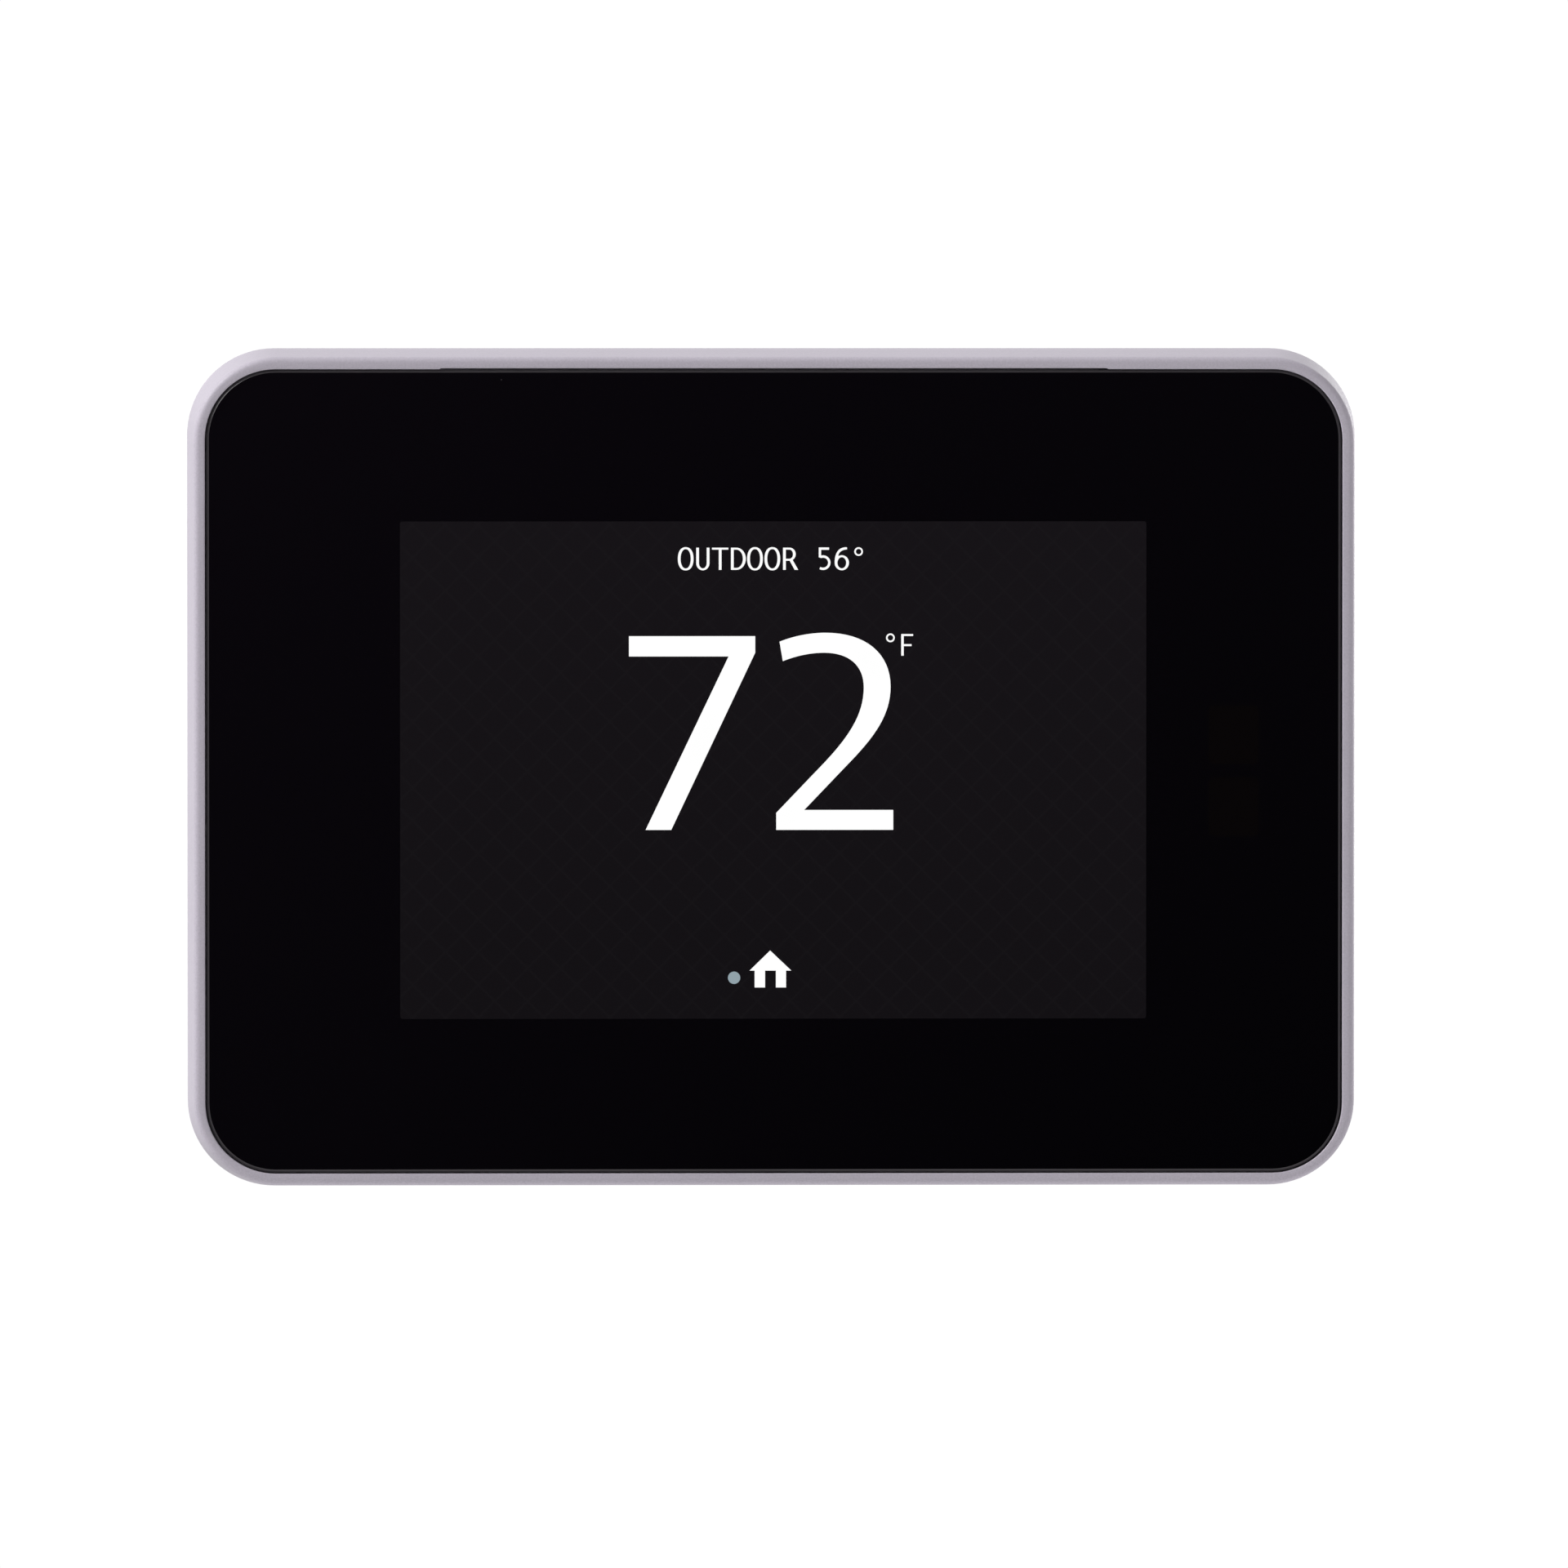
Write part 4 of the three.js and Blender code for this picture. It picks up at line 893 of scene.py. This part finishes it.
def figure(name, outlines, light=WHITE_LIGHT):
    """A lit figure from its outlines: a thin closed plate whose front is the figure layer."""
    curve = bpy.data.curves.new(name, "CURVE")
    curve.dimensions = "2D"
    curve.fill_mode = "BOTH"
    curve.extrude = FIGURE_SHEET / 2
    for outline in outlines:
        spline = curve.splines.new("POLY")
        spline.points.add(len(outline) - 1)
        for point, (x, z) in zip(spline.points, outline):
            point.co = (x * MM, z * MM, 0, 1)
        spline.use_cyclic_u = True
    holder = new_object(name + "_curve", curve)
    mesh = bpy.data.meshes.new_from_object(holder)
    bpy.data.objects.remove(holder)
    bpy.data.curves.remove(curve)
    for vertex in mesh.vertices:
        x, z, depth = vertex.co
        vertex.co = (x + CENTRE_X, -(FIGURE_LAYER + depth - FIGURE_SHEET / 2), z + CENTRE_Z)
    mesh.materials.clear()
    bm = bmesh.new()
    bm.from_mesh(mesh)
    bmesh.ops.remove_doubles(bm, verts=bm.verts[:], dist=1e-7)
    bmesh.ops.recalc_face_normals(bm, faces=bm.faces[:])
    bm.to_mesh(mesh)
    bm.free()
    return new_piece(name, mesh, BODY, light)


def bezier(start, first, second, end, steps=16):
    """Points on a cubic curve, its start left out."""
    points = []
    for step in range(1, steps + 1):
        t = step / steps
        s = 1 - t
        weights = (s ** 3, 3 * s * s * t, 3 * s * t * t, t ** 3)
        points.append(tuple(
            sum(w * p[axis] for w, p in zip(weights, (start, first, second, end)))
            for axis in (0, 1)
        ))
    return points


def stroke(points, width):
    """The outline of a line of even width along the points, with mitred turns."""
    left, right = [], []
    for i, point in enumerate(points):
        here = Vector(point)
        ways = []
        if i > 0:
            ways.append((here - Vector(points[i - 1])).normalized())
        if i < len(points) - 1:
            ways.append((Vector(points[i + 1]) - here).normalized())
        normals = [Vector((-way.y, way.x)) for way in ways]
        normal = sum(normals, Vector((0, 0))).normalized()
        reach = normal * (width / 2 / normal.dot(normals[0]))
        left.append(tuple(here + reach))
        right.append(tuple(here - reach))
    return left + right[::-1]


def oval(centre, half_x, half_z, squareness=2.0, steps=48):
    """A closed ellipse, or a squarer one for a squareness above 2."""
    points = []
    for step in range(steps):
        angle = 2 * math.pi * step / steps
        across, along = math.cos(angle), math.sin(angle)
        points.append((
            centre[0] + half_x * math.copysign(abs(across) ** (2 / squareness), across),
            centre[1] + half_z * math.copysign(abs(along) ** (2 / squareness), along),
        ))
    return points


def ring(centre, radius, width):
    return [oval(centre, reach, reach) for reach in (radius + width / 2, radius - width / 2)]


def seven():
    return [[
        (-16.15, 15.0), (-16.15, 12.73), (-5.0, 12.73), (-14.29, -6.69), (-11.42, -6.69),
        (-2.02, 13.15), (-2.02, 15.0),
    ]]


def two():
    outline = [(0.70, 14.38)]
    outline += bezier((0.70, 14.38), (2.3, 15.02), (4.1, 15.38), (5.85, 15.38))
    outline += bezier((5.85, 15.38), (10.3, 15.38), (13.13, 13.1), (13.13, 9.35))
    outline += bezier((13.13, 9.35), (13.13, 6.2), (11.4, 3.75), (8.15, 0.45))
    outline += [(3.46, -4.46), (13.43, -4.46), (13.43, -6.69), (0.33, -6.69), (0.33, -4.78)]
    outline += bezier((0.33, -4.78), (2.0, -3.05), (3.6, -1.35), (5.2, 0.3))
    outline += bezier((5.2, 0.3), (8.3, 3.5), (10.13, 6.1), (10.13, 9.25))
    outline += bezier((10.13, 9.25), (10.13, 11.7), (8.5, 13.14), (5.7, 13.14))
    outline += bezier((5.7, 13.14), (4.2, 13.14), (2.6, 12.82), (1.07, 12.2))
    return [outline]


# The outdoor label's letters stand on its base line, in cells of one pitch. The stems are
# thicker than the bars. Each letter is drawn about its own cell's middle, x = 0.

LABEL_PITCH = 1.939
LABEL_LEFT = -9.82
BASE = 22.42
TOP = 24.90
MIDDLE = (BASE + TOP) / 2
STEM = 0.305
BAR = 0.215


def letter_o():
    half_x, half_z = 0.875, (TOP - BASE) / 2 + 0.06
    return [oval((0.02, MIDDLE), half_x, half_z, 2.25),
            oval((0.02, MIDDLE), half_x - STEM, half_z - BAR, 2.15)]


def letter_u():
    half = 0.74
    bend = BASE + 0.75
    drop = bend - BASE + 0.05
    outline = [(half - STEM, TOP), (half, TOP)]
    outline += turn((0, bend), half, drop, 0, -180)
    outline += [(-half, TOP), (STEM - half, TOP)]
    outline += turn((0, bend), half - STEM, drop - BAR, 180, 360)
    return [outline]


def letter_t():
    half = 0.915
    low = TOP - BAR
    return [[
        (-half, TOP), (-half, low), (-STEM / 2, low), (-STEM / 2, BASE), (STEM / 2, BASE),
        (STEM / 2, low), (half, low), (half, TOP),
    ]]


def letter_d():
    left, bend = -0.73, -0.12
    half_z = (TOP - BASE) / 2
    outline = [(left, BASE)] + turn((bend, MIDDLE), 1.05, half_z, -90, 90) + [(left, TOP)]
    hole = [(left + STEM, BASE + BAR)]
    hole += turn((bend, MIDDLE), 1.05 - STEM - 0.02, half_z - BAR, -90, 90)
    hole += [(left + STEM, TOP - BAR)]
    return [outline, hole]


def letter_r():
    left, bend = -0.72, 0.0
    foot = BASE + 1.02
    bowl_middle, bowl_half = (TOP + foot) / 2, (TOP - foot) / 2
    outline = [(left, BASE), (left + STEM, BASE), (left + STEM, foot), (0.02, foot)]
    outline += [(0.58, BASE), (0.98, BASE), (0.36, foot + 0.07)]
    outline += turn((bend, bowl_middle), 0.70, bowl_half, -58, 90) + [(left, TOP)]
    hole = [(left + STEM, foot + BAR)]
    hole += turn((bend, bowl_middle), 0.70 - STEM, bowl_half - BAR, -90, 90)
    hole += [(left + STEM, TOP - BAR)]
    return [outline, hole]


def digit_five():
    high = TOP - BAR / 2
    path = [(0.55, high), (-0.47, high), (-0.47, BASE + 1.50)]
    path += turn((-0.12, BASE + 0.80), 0.70, 0.69, 108, -120, 26)
    return [stroke(path, 0.26)]


def digit_six():
    bowl = (0.04, BASE + 0.79)
    reach_x, reach_z = 0.80, 0.84
    outline = turn(bowl, reach_x, reach_z, 180, 478, 40)
    outline += bezier(outline[-1], (-0.40, BASE + 1.62), (-0.25, TOP - 0.22), (0.62, TOP - 0.20))
    outline += [(0.62, TOP + 0.04)]
    side = (bowl[0] - reach_x, bowl[1] + 0.02)
    outline += bezier((0.62, TOP + 0.04), (-0.30, TOP + 0.10), (-0.76, BASE + 1.9), side)
    return [outline, oval(bowl, reach_x - STEM, reach_z - BAR)]


OUTDOOR_LABEL = (
    letter_o, letter_u, letter_t, letter_d, letter_o, letter_o, letter_r, None,
    digit_five, digit_six,
)


def unit_f():
    left, right, middle_right = 14.32, 15.65, 15.48
    low, high = 12.81, 15.23
    bar_low, bar_high = 13.88, 14.10
    return [[
        (left, low), (left + 0.28, low), (left + 0.28, bar_low), (middle_right, bar_low),
        (middle_right, bar_high), (left + 0.28, bar_high), (left + 0.28, high - 0.22),
        (right, high - 0.22), (right, high), (left, high),
    ]]


def house():
    eaves, ground = -22.45, -24.34
    return [[
        (-0.35, -20.20), (-2.66, eaves), (-2.09, eaves), (-2.09, ground), (-0.92, ground),
        (-0.92, eaves), (0.29, eaves), (0.29, ground), (1.43, ground), (1.43, eaves),
        (2.02, eaves),
    ]]


figure("reading_seven", seven())
figure("reading_two", two())
figure("unit_degree", ring((13.11, 14.81), 0.40, 0.18))
figure("unit_f", unit_f())
for index, letter in enumerate(OUTDOOR_LABEL):
    if letter:
        middle = LABEL_LEFT + index * LABEL_PITCH
        figure(f"label_{index + 1}", [moved(outline, middle, 0) for outline in letter()])
figure("label_degree", ring((9.55, 24.46), 0.395, 0.18))
figure("house_symbol", house())
figure("page_dot", [oval((-4.39, -23.25), 0.69, 0.69)], GREY_LIGHT)


# ---- Screws ------------------------------------------

HEAD_HEIGHT = 1.3 * MM
CROSS_REACH = 1.2 * MM
CROSS_HALF = 0.3 * MM
CROSS_DEPTH = 0.7 * MM
THREAD_PITCH = 0.75 * MM
THREAD_RIDGE = 0.32
CREST = 0.98
ROOT = 0.76
TIP = 1.2 * MM
TURN_STEPS = 32

# The head's profile from its top down, as shares of its radius and its height.
HEAD_PROFILE = (
    (0.06, 0.0), (0.45, 0.02), (0.7, 0.09), (0.86, 0.22), (0.95, 0.38),
    (0.99, 0.55), (1.0, 0.7), (1.0, 0.93), (0.985, 0.98), (0.95, 1.0),
)

# Each group of screws: its body, then the head's radius, the shank's radius and the length in
# millimetres, then whether its heads face the front.
SCREWS = {
    "wiring_board_screw_": (WALL, (2.3, 1.0, 3.6), True),
    "main_board_screw_": (BODY, (2.3, 1.0, 6.6), True),
    "rear_shell_screw_": (BODY, (2.6, 1.15, 8.4), False),
}


def cross_outline(reach, half):
    return [
        (reach, -half), (reach, half), (half, half), (half, reach), (-half, reach), (-half, half),
        (-reach, half), (-reach, -half), (-half, -half), (-half, -reach), (half, -reach),
        (half, -half),
    ]


def screw_mesh(head_radius, shank_radius, length):
    """A pan-head screw along Y: its head's top at y = 0 looks along -Y, its shank runs to +Y."""
    total = HEAD_HEIGHT + length
    crest, root = shank_radius * CREST, shank_radius * ROOT

    def circle(radius_at):
        points = []
        for step in range(TURN_STEPS):
            angle = 2 * math.pi * step / TURN_STEPS
            radius = radius_at(angle)
            points.append((radius * math.cos(angle), radius * math.sin(angle)))
        return points

    def even(radius):
        return circle(lambda angle: radius)

    def threaded(along):
        """The section of a spiral ridge that starts under the head and fades out at the tip."""
        left = min(1.0, max(0.0, (total - along) / TIP))
        started = min(1.0, max(0.0, (along - HEAD_HEIGHT) / THREAD_PITCH))

        def radius_at(angle):
            phase = (along / THREAD_PITCH - angle / (2 * math.pi)) % 1.0
            ridge = max(0.0, 1 - abs(phase - 0.5) / THREAD_RIDGE)
            return root * (0.25 + 0.75 * left) + (crest - root) * ridge * left * started

        return circle(radius_at)

    def build(bm):
        rows = [(even(head_radius * share), down * HEAD_HEIGHT) for share, down in HEAD_PROFILE]
        rows.append((even(crest), HEAD_HEIGHT))
        steps = round(length / (THREAD_PITCH / 7))
        for step in range(1, steps + 1):
            along = HEAD_HEIGHT + length * step / steps
            rows.append((threaded(along), along))
        skin(bm, [loop_at(bm, points, -along) for points, along in rows])

    def build_cross(bm):
        top = cross_outline(CROSS_REACH * 1.05, CROSS_HALF * 1.1)
        floor = cross_outline(CROSS_REACH * 0.72, CROSS_HALF * 0.7)
        cut_block(bm, top, floor, HEAD_HEIGHT, -CROSS_DEPTH)

    return carved(mesh_from(build), mesh_from(build_cross))


def make_screws():
    """A threaded cross-head screw in place of each of the CAD's, each turned its own way."""
    for prefix, (body, (head, shank, length), to_front) in SCREWS.items():
        shape = screw_mesh(head * 0.985 * MM, shank * MM, length * 0.98 * MM)
        for name in sorted(node for node in nodes if node.startswith(prefix)):
            low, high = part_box(name)
            top = low.y if to_front else high.y
            mesh = shape.copy()
            spin = Matrix.Rotation(random.uniform(0, math.pi / 2), 4, "Y")
            flip = Matrix.Rotation(0 if to_front else math.pi, 4, "X")
            place = Matrix.Translation(((low.x + high.x) / 2, top, (low.z + high.z) / 2))
            mesh.transform(place @ flip @ spin)
            piece = new_piece(f"cross_head_{name}", mesh, body, LOOKS["steel"])
            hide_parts(name)
            shade(piece, 32)


make_screws()


# ---- Spring leaves -----------------------------------

# Each leaf is a bent strip: a base on the board, a tight bend, and an arm that rises back over
# the base to a curled tip. It is built at rest, not flattened by its tab.

LEAF_SHEET = 0.3 * MM
LEAF_WIDTH = 2.6 * MM
LEAF_START = -3.4 * MM
LEAF_BEND = 2.4 * MM
LEAF_ARM = 4.9 * MM
LEAF_RADIUS = 0.8 * MM
LEAF_SLOPE = math.radians(15)
TIP_NARROWING = 0.82

# The strip's section, its corners just broken, as shares of half its width and half its sheet.
LEAF_SECTION = (
    (-1, -0.6), (-0.96, -1), (0.96, -1), (1, -0.6), (1, 0.6), (0.96, 1), (-0.96, 1), (-1, 0.6),
)


def leaf_path(back):
    """The leaf's centre line as (x, depth), from the end of its base to its tip."""
    radius = LEAF_RADIUS - LEAF_SHEET / 2
    base = LEAF_BEND - LEAF_START
    path = [(LEAF_START + base * i / 6, back + LEAF_SHEET / 2) for i in range(6)]
    path += turn((LEAF_BEND, back + LEAF_RADIUS), radius, radius, -90, 75, 12)
    x, depth = path[-1]
    for share in (0.2, 0.4, 0.6, 0.78, 0.88):
        along = LEAF_ARM * share
        path.append((x - along * math.cos(LEAF_SLOPE), depth + along * math.sin(LEAF_SLOPE)))
    path.append((path[-1][0] - 0.3 * MM, path[-1][1] + 0.02 * MM))
    path.append((path[-1][0] - 0.28 * MM, path[-1][1] - 0.06 * MM))
    return path


def make_leaf(number):
    """One terminal's leaf, its bend towards the plate's middle on either side."""
    node = f"terminal_clip_{number}"
    low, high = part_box(node)
    on_left = low.x < 0
    origin = high.x + LEAF_START if on_left else low.x - LEAF_START
    mirror = -1 if on_left else 1
    middle = (low.z + high.z) / 2
    path = leaf_path(-high.y)

    def build(bm):
        sections = []
        for i, point in enumerate(path):
            before = Vector(path[max(0, i - 1)])
            after = Vector(path[min(len(path) - 1, i + 1)])
            way = (after - before).normalized()
            side = Vector((-way.y, way.x)) * LEAF_SHEET / 2
            half = LEAF_WIDTH / 2
            narrow = TIP_NARROWING if i >= len(path) - 2 else 1.0
            section = []
            for across, out in LEAF_SECTION:
                spot = Vector(point) + side * out
                section.append(bm.verts.new((
                    origin + mirror * spot.x, -spot.y, middle + across * half * narrow,
                )))
            sections.append(section)
        skin(bm, sections)

    piece = new_piece(
        f"clip_leaf_{number}", mesh_from(build), WALL, LOOKS["spring_bronze"],
    )
    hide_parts(node)
    shade(piece, 30)
    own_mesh(piece)


for leaf_number in range(1, 9):
    make_leaf(leaf_number)


# ---- Pin header --------------------------------------

PIN_PITCH = 2.54 * MM
PIN_COLUMNS = 6
PIN_HALF = 0.31 * MM
HEADER_FRONT = 7.9 * MM
HEADER_CORNER = 0.3 * MM
HEADER_RIM = 0.1 * MM
NOTCH_HALF = 0.32 * MM
NOTCH_DEPTH = 0.34 * MM


def make_header():
    """The plug strip: a block notched between its columns, with square pins standing in it."""
    low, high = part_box("pin_header")
    middle_z = (low.z + high.z) / 2
    back, pin_front = -high.y, -low.y
    half_x, half_z = (high.x - low.x) / 2, (high.z - low.z) / 2
    corner_x, corner_z = half_x - HEADER_CORNER, half_z - HEADER_CORNER
    columns = [(column - (PIN_COLUMNS - 1) / 2) * PIN_PITCH for column in range(PIN_COLUMNS)]
    outline = [(-corner_x, -half_z)]
    for x in columns[:-1]:
        gap = x + PIN_PITCH / 2
        outline += [
            (gap - NOTCH_HALF, -half_z), (gap - NOTCH_HALF * 0.4, NOTCH_DEPTH - half_z),
            (gap + NOTCH_HALF * 0.4, NOTCH_DEPTH - half_z), (gap + NOTCH_HALF, -half_z),
        ]
    outline += [(corner_x, -half_z), (half_x, -corner_z), (half_x, corner_z)]
    outline += [(-x, -z) for x, z in outline]
    outline = moved(outline, 0, middle_z)

    inner = [
        (x - math.copysign(HEADER_RIM, x), z - math.copysign(HEADER_RIM, z - middle_z))
        for x, z in outline
    ]

    def build_block(bm):
        skin(bm, [
            loop_at(bm, inner, back), loop_at(bm, outline, back + HEADER_RIM),
            loop_at(bm, outline, HEADER_FRONT - HEADER_RIM), loop_at(bm, inner, HEADER_FRONT),
        ])

    def build_pins(bm):
        profile = ((1, HEADER_FRONT - 0.6 * MM), (1, pin_front - 0.5 * MM),
                   (0.82, pin_front - 0.2 * MM), (0.45, pin_front))
        for x in columns:
            for row in (-0.5, 0.5):
                loops = []
                for share, depth in profile:
                    square = rounded_loop(PIN_HALF * share, PIN_HALF * share, 0.05 * MM, 2)
                    square = moved(square, x, middle_z + row * PIN_PITCH)
                    loops.append(loop_at(bm, square, depth))
                skin(bm, loops)

    for name, build, slot in (
        ("header_block", build_block, "black_plastic"),
        ("header_pins", build_pins, "tinned_sheet"),
    ):
        piece = new_piece(name, mesh_from(build), WALL, LOOKS[slot])
        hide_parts("pin_header")
        shade(piece, 30)


make_header()
